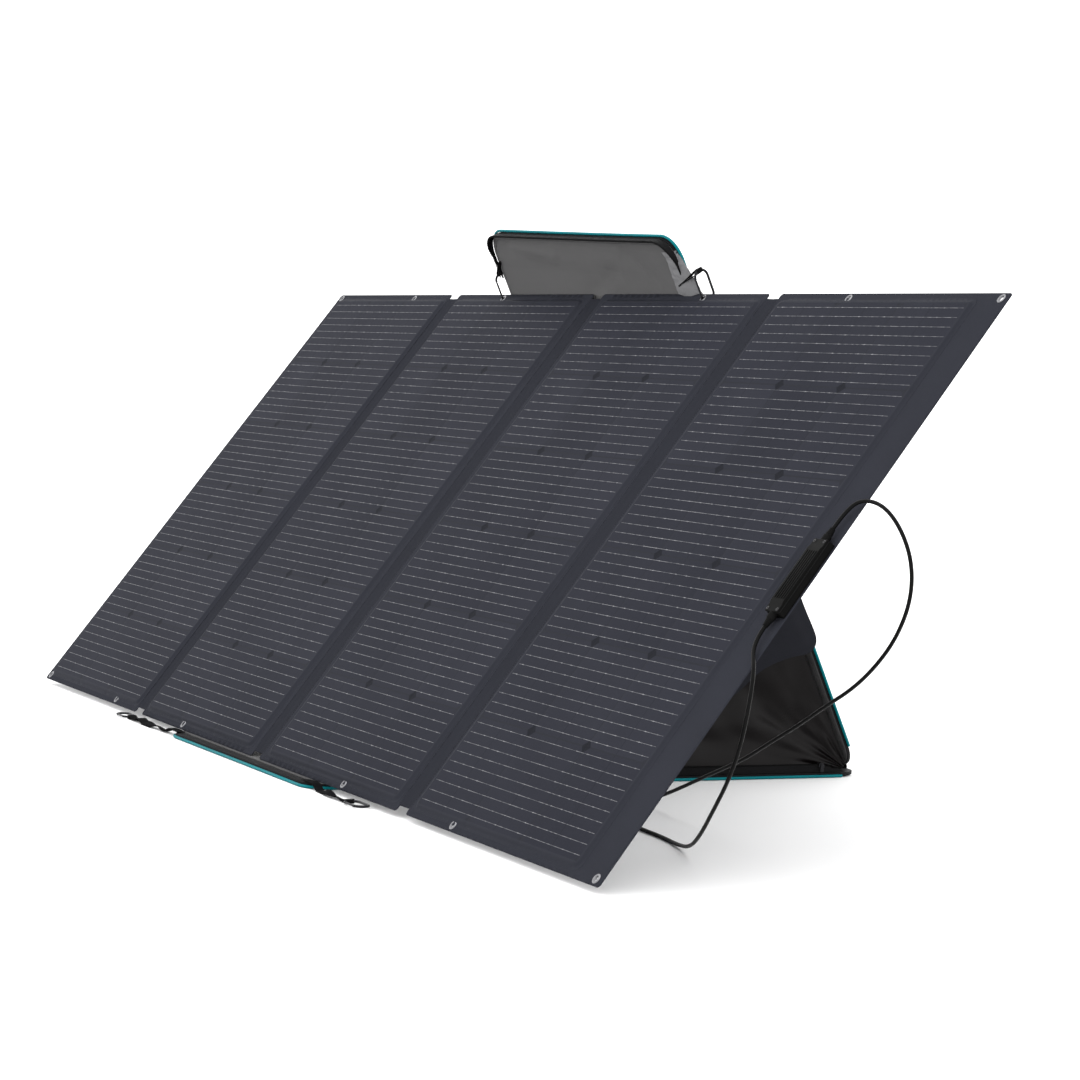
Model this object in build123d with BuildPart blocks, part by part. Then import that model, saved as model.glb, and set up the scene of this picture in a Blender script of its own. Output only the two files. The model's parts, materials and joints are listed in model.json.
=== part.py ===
from build123d import *
import math
import os

# Folding solar panel with its soft carrying case opened as a kickstand.
# Millimetres. X runs along the panel's width, -Y is the front, +Z is up.
# The origin is on the floor, on the underside of the case, below the panel's bottom edge
# and midway along its width.

# ---- driving dimensions: panel ----
panel_height = 1058.0
panel_tilt = 53.0            # angle between the panel and the floor
cell_size = 166.0
cell_pitch = 169.0
cell_chamfer = 9.0
cell_columns = 3
cell_rows = 6
left_border = 24.0           # outer border of section 1
right_border = 82.0          # outer border of section 4, which carries the junction box
gap_12 = 70.0                # fabric between the cell blocks at each hinge
gap_23 = 95.0
gap_34 = 78.0
skin_thickness = 2.0
board_thickness = 3.0
cell_thickness = 0.4
film_thickness = 0.6
board_margin = 2.0
hinge_play = 0.4             # from each skin's edge to the hinge line
notch_width = 17.0           # of each section's cut corners beside a hinge
notch_depth = 11.0
skin_corner = 6.0
eyelet_inset = 11.0          # eyelet centre to the top or bottom edge
eyelet_bore = 4.5            # radii
eyelet_barrel = 5.5
eyelet_flange = 8.0
flange_thickness = 1.0

# ---- driving dimensions: junction box and leads ----
box_width = 34.0
box_length = 130.0
box_height = 18.0
box_wall = 2.0
box_right_inset = 2.5        # from the panel's right edge
box_centre_height = 525.0    # along the panel, from its bottom edge
gland_length = 22.0
lead_diameter = 6.0
nut_length = 16.0
plug_length = 42.0
plug_radius = 9.0

# ---- driving dimensions: case ----
case_left = -388.0
case_right = 262.0
case_front = -25.0
case_rear = 1076.0
case_thickness = 10.0
case_corner = 45.0
case_skin = 2.0
case_rim = 16.0
lining_thickness = 2.0
tape_thickness = 2.0
wall_height = 15.0           # of the zip wall above the base
top_wall_height = 22.0       # of the zip wall at the case's upper end
top_wall_return = 12.0
piping_radius = 2.5
lean_play = 1.0              # from the panel's back to the case's inner face
gusset_reach = 640.0
gusset_rise = 560.0
gusset_thickness = 1.2

# ---- driving dimensions: straps and carabiners ----
webbing_width = 16.0
webbing_thickness = 1.6
ring_length = 60.0
ring_width = 30.0
ring_bar = 4.5
gate_bar = 3.6
gate_play = 0.3

# ---- worked out ----
block_width = (cell_columns - 1) * cell_pitch + cell_size
block_height = (cell_rows - 1) * cell_pitch + cell_size
panel_width = left_border + gap_12 + gap_23 + gap_34 + right_border + 4 * block_width
panel_left = -panel_width / 2
hinge_12 = panel_left + left_border + block_width + gap_12 / 2
hinge_23 = hinge_12 + gap_12 / 2 + block_width + gap_23 / 2
hinge_34 = hinge_23 + gap_23 / 2 + block_width + gap_34 / 2
panel_right = panel_width / 2
section_ends = [panel_left, hinge_12, hinge_23, hinge_34, panel_right]
block_left = [panel_left + left_border, hinge_12 + gap_12 / 2, hinge_23 + gap_23 / 2, hinge_34 + gap_34 / 2]
board_level = skin_thickness
cell_level = board_level + board_thickness
film_level = cell_level + cell_thickness
tilt = math.radians(panel_tilt)
up_slope = Vector(0, math.cos(tilt), math.sin(tilt))
panel_normal = Vector(0, -math.sin(tilt), math.cos(tilt))
case_width = case_right - case_left
case_middle = (case_left + case_right) / 2
case_lean = math.radians((180 - panel_tilt) / 2)     # the panel and the base are equal sides of a triangle
up_case = Vector(0, -math.cos(case_lean), math.sin(case_lean))
case_normal = Vector(0, math.sin(case_lean), math.cos(case_lean))
panel_foot = Vector(0, 0, case_thickness)
case_hinge = Vector(0, panel_height, case_thickness)
case_length = panel_height
ring_radius = (ring_width - ring_bar) / 2
ring_half = (ring_length - ring_width) / 2

os.makedirs("parts", exist_ok=True)


def save(part, name):
    """Label a finished piece and write it as its own STEP file."""
    part.label = name
    export_step(part, f"parts/{name}.step")


def on_panel(x, along, out=0.0):
    """A point from its place across the panel, up its slope, and out from its back face."""
    return Vector(x, 0, 0) + panel_foot + up_slope * along + panel_normal * out


def on_case(x, along, out=0.0):
    """A point from its place across the raised case half, up from its hinge, and out behind its inner face."""
    return Vector(x, 0, 0) + case_hinge + up_case * along + case_normal * (out + lean_play)


def panel_plane(x, along, out=0.0):
    """A plane in the panel: its X across, its Y up the slope, its Z to the front."""
    return Plane(origin=on_panel(x, along, out), x_dir=(1, 0, 0), z_dir=panel_normal)


def case_plane(x, along, out=0.0):
    """A plane in the raised case half: its X to the left, its Y up the half, its Z to the rear."""
    return Plane(origin=on_case(x, along, out), x_dir=(-1, 0, 0), z_dir=case_normal)


# ---- the four panel sections: skin, board, cells, film and eyelets ----
eyelets_top = [[-1165.0, -800.0], [-400.0], [340.0], [777.0, 1165.0]]
eyelets_bottom = [[-1165.0, -760.0], [-395.0], [329.0], [728.0, 1165.0]]

for index in range(4):
    section = index + 1
    left = section_ends[index] + (hinge_play if index > 0 else 0)
    right = section_ends[index + 1] - (hinge_play if index < 3 else 0)
    eyelet_places = [(x, panel_height - eyelet_inset) for x in eyelets_top[index]]
    eyelet_places += [(x, eyelet_inset) for x in eyelets_bottom[index]]
    block_middle = block_left[index] + block_width / 2
    hinge_sides = [side for side, inside in ((-1, index > 0), (1, index < 3)) if inside]
    notch_places = [(side * (right - left) / 2, end * panel_height / 2) for side in hinge_sides for end in (-1, 1)]

    with BuildPart() as skin:
        with BuildSketch(panel_plane((left + right) / 2, panel_height / 2)) as outline:
            Rectangle(right - left, panel_height)
            with Locations(*notch_places):
                Rectangle(2 * notch_width, 2 * notch_depth, mode=Mode.SUBTRACT)
            rows = outline.vertices().group_by(Axis.Y)
            fillet(rows[0] + rows[-1], skin_corner)
        extrude(amount=skin_thickness)
        with BuildSketch(panel_plane(0, 0)):
            with Locations(*eyelet_places):
                Circle(eyelet_barrel)
        extrude(amount=skin_thickness, mode=Mode.SUBTRACT)
    save(skin.part, f"section_{section}_skin")

    with BuildPart() as board:
        with BuildSketch(panel_plane(block_middle, panel_height / 2, board_level)):
            RectangleRounded(block_width + 2 * board_margin, block_height + 2 * board_margin, 6)
        extrude(amount=board_thickness)
    save(board.part, f"section_{section}_board")

    with BuildPart() as cells:
        with BuildSketch(panel_plane(block_middle, panel_height / 2, cell_level)) as cell_sketch:
            with GridLocations(cell_pitch, cell_pitch, cell_columns, cell_rows):
                Rectangle(cell_size, cell_size)
            chamfer(cell_sketch.vertices(), cell_chamfer)
        extrude(amount=cell_thickness)
    save(cells.part, f"section_{section}_cells")

    with BuildPart() as film:
        with BuildSketch(panel_plane(block_middle, panel_height / 2, film_level)):
            RectangleRounded(block_width + 2 * board_margin, block_height + 2 * board_margin, 6)
        extrude(amount=film_thickness)
    save(film.part, f"section_{section}_film")

    with BuildPart() as eyelets:
        with BuildSketch(panel_plane(0, 0, -flange_thickness)):
            with Locations(*eyelet_places):
                Circle(eyelet_flange)
        extrude(amount=flange_thickness)
        with BuildSketch(panel_plane(0, 0, 0)):
            with Locations(*eyelet_places):
                Circle(eyelet_barrel)
        extrude(amount=skin_thickness)
        with BuildSketch(panel_plane(0, 0, skin_thickness)):
            with Locations(*eyelet_places):
                Circle(eyelet_flange)
        extrude(amount=flange_thickness)
        with BuildSketch(panel_plane(0, 0, -flange_thickness)):
            with Locations(*eyelet_places):
                Circle(eyelet_bore)
        extrude(amount=skin_thickness + 2 * flange_thickness, mode=Mode.SUBTRACT)
    save(eyelets.part, f"section_{section}_eyelets")

# ---- junction box on section 4's right border ----
box_middle = panel_right - box_right_inset - box_width / 2
box_split = skin_thickness + 11.0
gasket_thickness = 1.0
screw_inset = 5.0
screw_places = [
    (sx * (box_width / 2 - screw_inset), sy * (box_length / 2 - screw_inset)) for sx in (-1, 1) for sy in (-1, 1)
]
screw_radius = 1.5
screw_play = 0.1
screw_head = 2.6
screw_head_height = 1.6

with BuildPart() as box_base:
    with BuildSketch(panel_plane(box_middle, box_centre_height, skin_thickness)):
        RectangleRounded(box_width, box_length, 5)
    extrude(amount=box_split - skin_thickness)
    with BuildSketch(panel_plane(box_middle, box_centre_height, skin_thickness + box_wall)):
        RectangleRounded(box_width - 4 * screw_inset, box_length - 2 * box_wall, 2)
        Rectangle(box_width - 2 * box_wall, box_length - 4 * screw_inset)
    extrude(amount=box_height, mode=Mode.SUBTRACT)
    with BuildSketch(panel_plane(box_middle, box_centre_height, skin_thickness + 2 * box_wall)):
        with Locations(*screw_places):
            Circle(screw_radius + screw_play)
    extrude(amount=box_height, mode=Mode.SUBTRACT)
save(box_base.part, "junction_box_base")

with BuildPart() as box_gasket:
    with BuildSketch(panel_plane(box_middle, box_centre_height, box_split)):
        RectangleRounded(box_width - 1, box_length - 1, 4.5)
        Rectangle(box_width - 2 * box_wall, box_length - 4 * screw_inset, mode=Mode.SUBTRACT)
        RectangleRounded(box_width - 4 * screw_inset, box_length - 2 * box_wall, 2, mode=Mode.SUBTRACT)
        with Locations(*screw_places):
            Circle(screw_radius + screw_play, mode=Mode.SUBTRACT)
    extrude(amount=gasket_thickness)
save(box_gasket.part, "junction_box_gasket")

lid_level = box_split + gasket_thickness
lid_top = skin_thickness + box_height
with BuildPart() as box_lid:
    with BuildSketch(panel_plane(box_middle, box_centre_height, lid_level)):
        RectangleRounded(box_width, box_length, 5)
    extrude(amount=lid_top - lid_level)
    rim = box_lid.faces().sort_by(Axis(panel_foot, panel_normal))[-1].edges()
    chamfer(rim, 2.2)
    with BuildSketch(panel_plane(box_middle, box_centre_height, lid_level)):
        Rectangle(box_width - 2 * box_wall, box_length - 4 * screw_inset)
    extrude(amount=lid_top - lid_level - box_wall, mode=Mode.SUBTRACT)
    with BuildSketch(panel_plane(box_middle, box_centre_height, lid_level)):
        with Locations(*screw_places):
            Circle(screw_radius + screw_play)
    extrude(amount=box_height, mode=Mode.SUBTRACT)
    with BuildSketch(panel_plane(box_middle, box_centre_height, lid_top - screw_head_height)):
        with Locations(*screw_places):
            Circle(screw_head + screw_play)
    extrude(amount=box_height, mode=Mode.SUBTRACT)
save(box_lid.part, "junction_box_lid")

with BuildPart() as box_screws:
    with BuildSketch(panel_plane(box_middle, box_centre_height, skin_thickness + 2 * box_wall)):
        with Locations(*screw_places):
            Circle(screw_radius)
    extrude(amount=lid_top - screw_head_height - skin_thickness - 2 * box_wall)
    with BuildSketch(panel_plane(box_middle, box_centre_height, lid_top - screw_head_height)):
        with Locations(*screw_places):
            Circle(screw_head)
    extrude(amount=screw_head_height - 0.2)
save(box_screws.part, "junction_box_screws")

with BuildPart() as diode_board:
    with BuildSketch(panel_plane(box_middle, box_centre_height, skin_thickness + box_wall)):
        Rectangle(box_width - 3 * box_wall, box_length - 5 * screw_inset)
    extrude(amount=1.6)
    with BuildSketch(panel_plane(box_middle, box_centre_height, skin_thickness + box_wall + 1.6)):
        with GridLocations(0, 24, 1, 4):
            Rectangle(9, 10)
    extrude(amount=4)
    with BuildSketch(panel_plane(box_middle, box_centre_height, skin_thickness + box_wall + 1.6)):
        with GridLocations(20, 24, 2, 5):
            Rectangle(4, 8)
    extrude(amount=3)
save(diode_board.part, "diode_board")

gland_out = skin_thickness + box_height / 2
gland_profile = [
    (0, 0), (6.5, 0), (6.5, 9), (5.2, 10), (4.2, gland_length), (0, gland_length),
]
gland_starts = {
    "upper": Plane(
        origin=on_panel(box_middle, box_centre_height + box_length / 2, gland_out),
        x_dir=(1, 0, 0),
        z_dir=up_slope,
    ),
    "lower": Plane(
        origin=on_panel(box_middle, box_centre_height - box_length / 2, gland_out),
        x_dir=(1, 0, 0),
        z_dir=-up_slope,
    ),
}
with BuildPart() as glands:
    for start in gland_starts.values():
        with BuildSketch(Plane(origin=start.origin, x_dir=(1, 0, 0), z_dir=start.x_dir.cross(start.z_dir))):
            Polygon(*[(r, d) for r, d in gland_profile], align=None)
        revolve(axis=Axis(start.origin, start.z_dir))
save(glands.part, "lead_glands")

# ---- leads: straight out of the glands, round the panel's edge, down and along the floor ----
exit_upper = on_panel(box_middle, box_centre_height + box_length / 2 + gland_length, gland_out)
exit_lower = on_panel(box_middle, box_centre_height - box_length / 2 - gland_length, gland_out)
lead_upper_route = [
    exit_upper,
    exit_upper + up_slope * 32,
    Vector(1184, 391, 550),
    Vector(1224, 400, 545),
    Vector(1262, 406, 514),
    Vector(1286, 411, 468),
    Vector(1278, 418, 414),
    Vector(1238, 426, 358),
    Vector(1180, 434, 310),
    Vector(1112, 444, 270),
    Vector(1038, 451, 236),
    Vector(964, 456, 198),
    Vector(890, 459, 163),
    Vector(816, 462, 126),
    Vector(742, 467, 98),
    Vector(668, 471, 70),
    Vector(596, 475, 42),
    Vector(528, 478, 18),
    Vector(462, 472, 3),
    Vector(412, 440, 3),
    Vector(374, 400, plug_radius),
    Vector(350, 360, plug_radius),
]
lead_lower_route = [
    exit_lower,
    exit_lower - up_slope * 32,
    Vector(1198, 219, 308),
    Vector(1204, 208, 248),
    Vector(1172, 218, 190),
    Vector(1124, 232, 138),
    Vector(1064, 249, 88),
    Vector(998, 272, 42),
    Vector(930, 298, 12),
    Vector(862, 320, 3),
    Vector(788, 334, 3),
    Vector(714, 338, 3),
    Vector(648, 356, 3),
    Vector(586, 340, 3),
    Vector(546, 288, 3),
    Vector(542, 224, 3),
    Vector(500, 174, 3),
    Vector(438, 168, 3),
    Vector(400, 214, plug_radius),
    Vector(384, 256, plug_radius),
]


def corner_radii(route):
    """The largest tangent arc at each corner: 0.45 of the shorter run, divided by the tangent of half the turn."""
    radii = []
    for before, here, after in zip(route, route[1:], route[2:]):
        run_in = here - before
        run_out = after - here
        half_turn = math.radians(run_in.get_angle(run_out)) / 2
        radii.append(0.45 * min(run_in.length, run_out.length) / math.tan(half_turn))
    return radii


for name, route in (("lead_upper", lead_upper_route), ("lead_lower", lead_lower_route)):
    radii = corner_radii(route)
    with BuildPart() as lead:
        with BuildLine() as path:
            FilletPolyline(*route, radius=radii)
        with BuildSketch(Plane(origin=route[0], z_dir=route[1] - route[0])):
            Circle(lead_diameter / 2)
        sweep()
    length = path.wire().length
    expected = math.pi * lead_diameter**2 / 4 * length
    print(name, "length", round(length), "volume ratio", round(lead.part.volume / expected, 4))
    print("  runs", [round((b - a).length) for a, b in zip(route, route[1:])])
    print("  radii", [round(r) for r in radii])
    save(lead.part, name)

# ---- a plug on the upper lead's end and a socket on the lower lead's end ----
for kind, route in (("plug", lead_upper_route), ("socket", lead_lower_route)):
    along = (route[-1] - route[-2]).normalized()
    across = along.cross(Vector(0, 0, 1)).normalized()
    with BuildPart() as nut:
        with BuildSketch(Plane(origin=route[-1], x_dir=across, z_dir=along)):
            RegularPolygon(plug_radius - 0.2, 12, major_radius=True)
            Circle(lead_diameter / 2 + 0.4, mode=Mode.SUBTRACT)
        extrude(amount=nut_length)
        with BuildSketch(Plane(origin=route[-1], x_dir=across, z_dir=along)):
            Circle(lead_diameter / 2 + 0.6)
        extrude(amount=3)
    save(nut.part, f"{kind}_nut")

    with BuildPart() as shell:
        with BuildSketch(Plane(origin=route[-1] + along * nut_length, x_dir=across, z_dir=along)):
            Circle(plug_radius - 0.6)
        extrude(amount=plug_length * 0.55)
        with BuildSketch(
            Plane(origin=route[-1] + along * (nut_length + plug_length * 0.55), x_dir=across, z_dir=along)
        ):
            Circle(plug_radius - (2.6 if kind == "plug" else 0.6))
        extrude(amount=plug_length * 0.45)
        mouth = route[-1] + along * (nut_length + plug_length)
        with BuildSketch(Plane(origin=mouth, x_dir=across, z_dir=-along)):
            Circle(3.2 if kind == "plug" else 6.8)
        extrude(amount=plug_length * 0.4, mode=Mode.SUBTRACT)
    save(shell.part, f"{kind}_shell")

# ---- case base: the half that lies on the floor ----
base_length = case_rear - case_front
base_middle = (case_rear + case_front) / 2
pocket_width = case_width - 2 * case_rim
pocket_length = base_length - 2 * case_rim

with BuildPart() as base_shell:
    with BuildSketch(Plane.XY.move(Location((case_middle, base_middle, 0)))):
        RectangleRounded(case_width, base_length, case_corner)
    extrude(amount=case_thickness)
    with BuildSketch(Plane.XY.move(Location((case_middle, base_middle, case_skin)))):
        RectangleRounded(pocket_width, pocket_length, case_corner - case_rim)
    extrude(amount=case_thickness, mode=Mode.SUBTRACT)
save(base_shell.part, "case_base_shell")

with BuildPart() as base_board:
    with BuildSketch(Plane.XY.move(Location((case_middle, base_middle, case_skin)))):
        RectangleRounded(pocket_width, pocket_length, case_corner - case_rim)
    extrude(amount=case_thickness - case_skin - lining_thickness)
save(base_board.part, "case_base_board")

with BuildPart() as base_lining:
    with BuildSketch(Plane.XY.move(Location((case_middle, base_middle, case_thickness - lining_thickness)))):
        RectangleRounded(pocket_width, pocket_length, case_corner - case_rim)
    extrude(amount=lining_thickness)
save(base_lining.part, "case_base_lining")

wall_front = 45.0
wall_rear = case_rear - case_corner
with BuildPart() as base_tape:
    for wall_middle in (case_left + tape_thickness / 2, case_right - tape_thickness / 2):
        with BuildSketch(Plane.XY.move(Location((wall_middle, (wall_front + wall_rear) / 2, case_thickness)))):
            Rectangle(tape_thickness, wall_rear - wall_front)
        extrude(amount=wall_height)
save(base_tape.part, "case_base_zip_tape")

piping_height = piping_radius + 0.6
with BuildPart() as base_piping:
    with BuildLine() as piping_path:
        FilletPolyline(
            (case_left - piping_radius, case_rear - case_corner, piping_height),
            (case_left - piping_radius, case_front - piping_radius, piping_height),
            (case_right + piping_radius, case_front - piping_radius, piping_height),
            (case_right + piping_radius, case_rear - case_corner, piping_height),
            radius=case_corner + piping_radius,
        )
    with BuildSketch(Plane(origin=piping_path.line @ 0, z_dir=piping_path.line % 0)):
        Circle(piping_radius)
    sweep()
save(base_piping.part, "case_base_piping")

spine_height = 16.0
spine_front = case_rear - 4.0
with BuildPart() as spine:
    with BuildSketch(Plane.XY.offset(case_thickness)):
        with Locations((case_middle, spine_front + tape_thickness / 2)):
            Rectangle(case_width - 2 * case_corner, tape_thickness)
    extrude(amount=spine_height)
save(spine.part, "case_spine")

# ---- raised case half ----
lower_end = 4.0
raised_length = case_length - lower_end
raised_middle = (case_length + lower_end) / 2
raised_pocket_length = raised_length - 2 * case_rim

with BuildPart() as back_shell:
    with BuildSketch(case_plane(case_middle, raised_middle)):
        RectangleRounded(case_width, raised_length, case_corner)
    extrude(amount=case_thickness)
    with BuildSketch(case_plane(case_middle, raised_middle)):
        RectangleRounded(pocket_width, raised_pocket_length, case_corner - case_rim)
    extrude(amount=case_thickness - case_skin, mode=Mode.SUBTRACT)
save(back_shell.part, "case_back_shell")

with BuildPart() as back_board:
    with BuildSketch(case_plane(case_middle, raised_middle, lining_thickness)):
        RectangleRounded(pocket_width, raised_pocket_length, case_corner - case_rim)
    extrude(amount=case_thickness - case_skin - lining_thickness)
save(back_board.part, "case_back_board")

with BuildPart() as back_lining:
    with BuildSketch(case_plane(case_middle, raised_middle)):
        RectangleRounded(pocket_width, raised_pocket_length, case_corner - case_rim)
    extrude(amount=lining_thickness)
save(back_lining.part, "case_back_lining")

with BuildPart() as back_tape:
    with BuildSketch(case_plane(case_middle, raised_middle)):
        RectangleRounded(case_width, raised_length, case_corner)
        RectangleRounded(
            case_width - 2 * tape_thickness,
            raised_length - 2 * tape_thickness,
            case_corner - tape_thickness,
            mode=Mode.SUBTRACT,
        )
        with Locations((0, -top_wall_return)):
            Rectangle(case_width, raised_length, mode=Mode.SUBTRACT)
    extrude(amount=-top_wall_height)
save(back_tape.part, "case_back_zip_tape")

piping_out = case_thickness - piping_height
with BuildPart() as back_piping:
    with BuildLine() as piping_path:
        FilletPolyline(
            on_case(case_left - piping_radius, lower_end + case_corner, piping_out),
            on_case(case_left - piping_radius, case_length + piping_radius, piping_out),
            on_case(case_right + piping_radius, case_length + piping_radius, piping_out),
            on_case(case_right + piping_radius, lower_end + case_corner, piping_out),
            radius=case_corner + piping_radius,
        )
    with BuildSketch(Plane(origin=piping_path.line @ 0, z_dir=piping_path.line % 0)):
        Circle(piping_radius)
    sweep()
save(back_piping.part, "case_back_piping")

# ---- folded fabric gussets between the two halves, just inside their side walls ----
gusset_inset = 10.0
gusset_play = 1.0
gusset_outline = [
    (case_hinge.Y - 8, case_thickness + gusset_play),
    (case_hinge.Y - gusset_reach, case_thickness + gusset_play),
    (
        case_hinge.Y - gusset_rise * math.cos(case_lean) - 2 * gusset_play,
        case_hinge.Z + gusset_rise * math.sin(case_lean) - gusset_play,
    ),
    (case_hinge.Y - 10, case_thickness + gusset_play + 6),
]
for side, x in (("left", case_left + gusset_inset), ("right", case_right - gusset_inset - gusset_thickness)):
    with BuildPart() as gusset:
        with BuildSketch(Plane(origin=(x, 0, 0), x_dir=(0, 1, 0), z_dir=(1, 0, 0))):
            Polygon(*gusset_outline, align=None)
        extrude(amount=gusset_thickness)
    save(gusset.part, f"case_gusset_{side}")

# ---- carabiners: a bent bar with a spring gate on one side ----
eyelet_height = panel_height - eyelet_inset
ring_along_panel = ring_radius
upper_rings = {}
for side, x in (("left", eyelets_top[1][0]), ("right", eyelets_top[2][0])):
    arc_centre = on_panel(x, eyelet_height + ring_along_panel, skin_thickness / 2)
    centre = arc_centre + up_case * ring_half
    upper_rings[side] = Plane(origin=centre, x_dir=-case_normal, z_dir=(1, 0, 0))
lower_ring_y = -17.0
lower_ring_x = {"left": -640.0, "right": 430.0}
floor_loop_inner = ring_bar / 2 + 0.3
floor_loop_outer = floor_loop_inner + webbing_thickness
ring_level = floor_loop_outer + 0.1
ring_planes = {
    "upper_left": upper_rings["left"],
    "upper_right": upper_rings["right"],
    "lower_left": Plane(origin=(lower_ring_x["left"], lower_ring_y, ring_level), x_dir=(0, -1, 0), z_dir=(0, 0, 1)),
    "lower_right": Plane(origin=(lower_ring_x["right"], lower_ring_y, ring_level), x_dir=(0, -1, 0), z_dir=(0, 0, 1)),
}
gate_start = -ring_half - 0.4
gate_end = ring_half - 1.0
for place, plane in ring_planes.items():
    with BuildPart() as carabiner:
        with BuildLine(plane) as ring_path:
            upper_stub = Line((ring_radius, gate_end + gate_play), (ring_radius, ring_half))
            upper_arc = RadiusArc(upper_stub @ 1, (-ring_radius, ring_half), -ring_radius)
            long_side = Line(upper_arc @ 1, (-ring_radius, -ring_half))
            lower_arc = RadiusArc(long_side @ 1, (ring_radius, -ring_half), -ring_radius)
        with BuildSketch(Plane(origin=ring_path.wires()[0] @ 0, z_dir=ring_path.wires()[0] % 0)):
            Circle(ring_bar / 2)
        sweep()
    save(carabiner.part, f"carabiner_{place}_body")
    with BuildPart() as gate:
        gate_base = plane.from_local_coords(Vector(ring_radius, -ring_half + gate_play, 0))
        with BuildSketch(Plane(origin=gate_base, z_dir=plane.y_dir)):
            Circle(gate_bar / 2)
        extrude(amount=gate_end + ring_half - gate_play)
        foot = gate.faces().sort_by(Axis(gate_base, plane.y_dir))[0].edges()
        fillet(foot, gate_bar / 2 - 0.1)
    save(gate.part, f"carabiner_{place}_gate")

# ---- upper webbing loops, from the raised half's side edges round the upper carabiners ----
loop_webbing = 10.0
bar_dip = ring_radius - math.sqrt(ring_radius**2 - (loop_webbing / 2) ** 2)
loop_inner = ring_bar / 2 + bar_dip + 0.35
loop_outer = loop_inner + webbing_thickness
edge_play = 2 * piping_radius + loop_outer + 0.5
for side, edge, rise in (("left", case_left - edge_play, 38.0), ("right", case_right + edge_play, 14.0)):
    ring_plane = upper_rings[side]
    bar = ring_plane.origin + up_case * (ring_half + ring_radius)
    span = Vector(edge - bar.X, 0, 0) + up_case * rise
    loop_plane = Plane(origin=bar + span / 2 - case_normal * (loop_webbing / 2), x_dir=span, z_dir=case_normal)
    with BuildPart() as strap:
        with BuildSketch(loop_plane):
            SlotCenterToCenter(span.length, 2 * loop_outer)
            SlotCenterToCenter(span.length, 2 * loop_inner, mode=Mode.SUBTRACT)
        extrude(amount=loop_webbing)
    save(strap.part, f"strap_upper_{side}")

# ---- lower webbing straps, from the base's front corners along the floor to the lower carabiners ----
over_rim = case_thickness + webbing_thickness / 2 + 0.1
on_floor = webbing_thickness / 2 + 0.1
lower_straps = {
    "left": [
        (-350, over_rim),
        (-380, over_rim),
        (-412, on_floor),
        (-440, 9.5),
        (-470, on_floor),
        (-502, 7.5),
        (-534, on_floor),
        (-562, 5.5),
        (-580, 3.2),
        (-597.2, ring_level),
    ],
    "right": [
        (224, over_rim),
        (254, over_rim),
        (284, on_floor),
        (310, 10.5),
        (338, on_floor),
        (358, 6.5),
        (373, 3.4),
        (387.2, ring_level),
    ],
}
loop_length = 15.0
for side, points in lower_straps.items():
    outward = -1 if side == "left" else 1
    bar_x = lower_ring_x[side] - outward * (ring_half + ring_radius)
    loop_middle = bar_x + outward * (4.2 - loop_length / 2)
    front = Plane(origin=(0, lower_ring_y - webbing_width / 2, 0), x_dir=(1, 0, 0), z_dir=(0, -1, 0))
    with BuildPart() as strap:
        with BuildSketch(front):
            with BuildLine():
                FilletPolyline(*points, radius=9)
            trace(line_width=webbing_thickness)
            with Locations((loop_middle, ring_level)):
                SlotCenterToCenter(loop_length, 2 * floor_loop_outer)
                SlotCenterToCenter(loop_length, 2 * floor_loop_inner, mode=Mode.SUBTRACT)
        extrude(amount=-webbing_width)
    save(strap.part, f"strap_lower_{side}")

# ---- zip sliders on the base's side walls ----
slider_y = 985.0
slider_size = (9.0, 15.0, 9.0)
slider_slot = tape_thickness + 0.8
slider_top = case_thickness + wall_height + 3.0
pull_size = (1.6, 8.0, 17.0)
for side, outward, wall_middle in (
    ("left", -1, case_left + tape_thickness / 2),
    ("right", 1, case_right - tape_thickness / 2),
):
    with BuildPart() as slider:
        with BuildSketch(Plane.XY.offset(slider_top - slider_size[2])):
            with Locations((wall_middle, slider_y)):
                RectangleRounded(slider_size[0], slider_size[1], 2)
        extrude(amount=slider_size[2])
        with BuildSketch(Plane.XY.offset(slider_top - slider_size[2])):
            with Locations((wall_middle, slider_y)):
                Rectangle(slider_slot, slider_size[1])
        extrude(amount=slider_size[2] - 2, mode=Mode.SUBTRACT)
        with BuildSketch(Plane.XY.offset(slider_top - pull_size[2] - 1)):
            with Locations((wall_middle + outward * (slider_size[0] + pull_size[0]) / 2, slider_y)):
                Rectangle(pull_size[0], pull_size[1])
        extrude(amount=pull_size[2])
    save(slider.part, f"zip_slider_{side}")

# ---- carrying handle, lying flat on the floor beside the base's left edge ----
handle_inner_x = case_left - 2 * piping_radius - 1.5
handle_reach = 62.0
handle_length = 190.0
handle_band = 22.0
handle_thickness = 3.0
handle_middle_y = 500.0
grip_width = 28.0
grip_length = 112.0
grip_height = 11.0
floor_play = 0.1
with BuildPart() as handle:
    with BuildSketch(Plane.XY.offset(floor_play)):
        with Locations((handle_inner_x - handle_reach / 2, handle_middle_y)):
            Rectangle(handle_reach, handle_length)
        with Locations((handle_inner_x - (handle_reach - handle_band) / 2, handle_middle_y)):
            Rectangle(handle_reach - handle_band, handle_length - 2 * handle_band, mode=Mode.SUBTRACT)
    extrude(amount=handle_thickness)
    with BuildSketch(Plane.XY.offset(floor_play)):
        with Locations((handle_inner_x - handle_reach + handle_band / 2, handle_middle_y)):
            RectangleRounded(grip_width, grip_length, 6)
    extrude(amount=grip_height)
    grip_top = handle.faces().filter_by(Axis.Z).sort_by(Axis.Z)[-1].edges()
    fillet(grip_top, 4)
save(handle.part, "case_handle")
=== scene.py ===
import json
import math
import random

import bmesh
import bpy
import numpy as np
from mathutils import Matrix, Quaternion, Vector, noise
from mathutils.geometry import delaunay_2d_cdt


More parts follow.
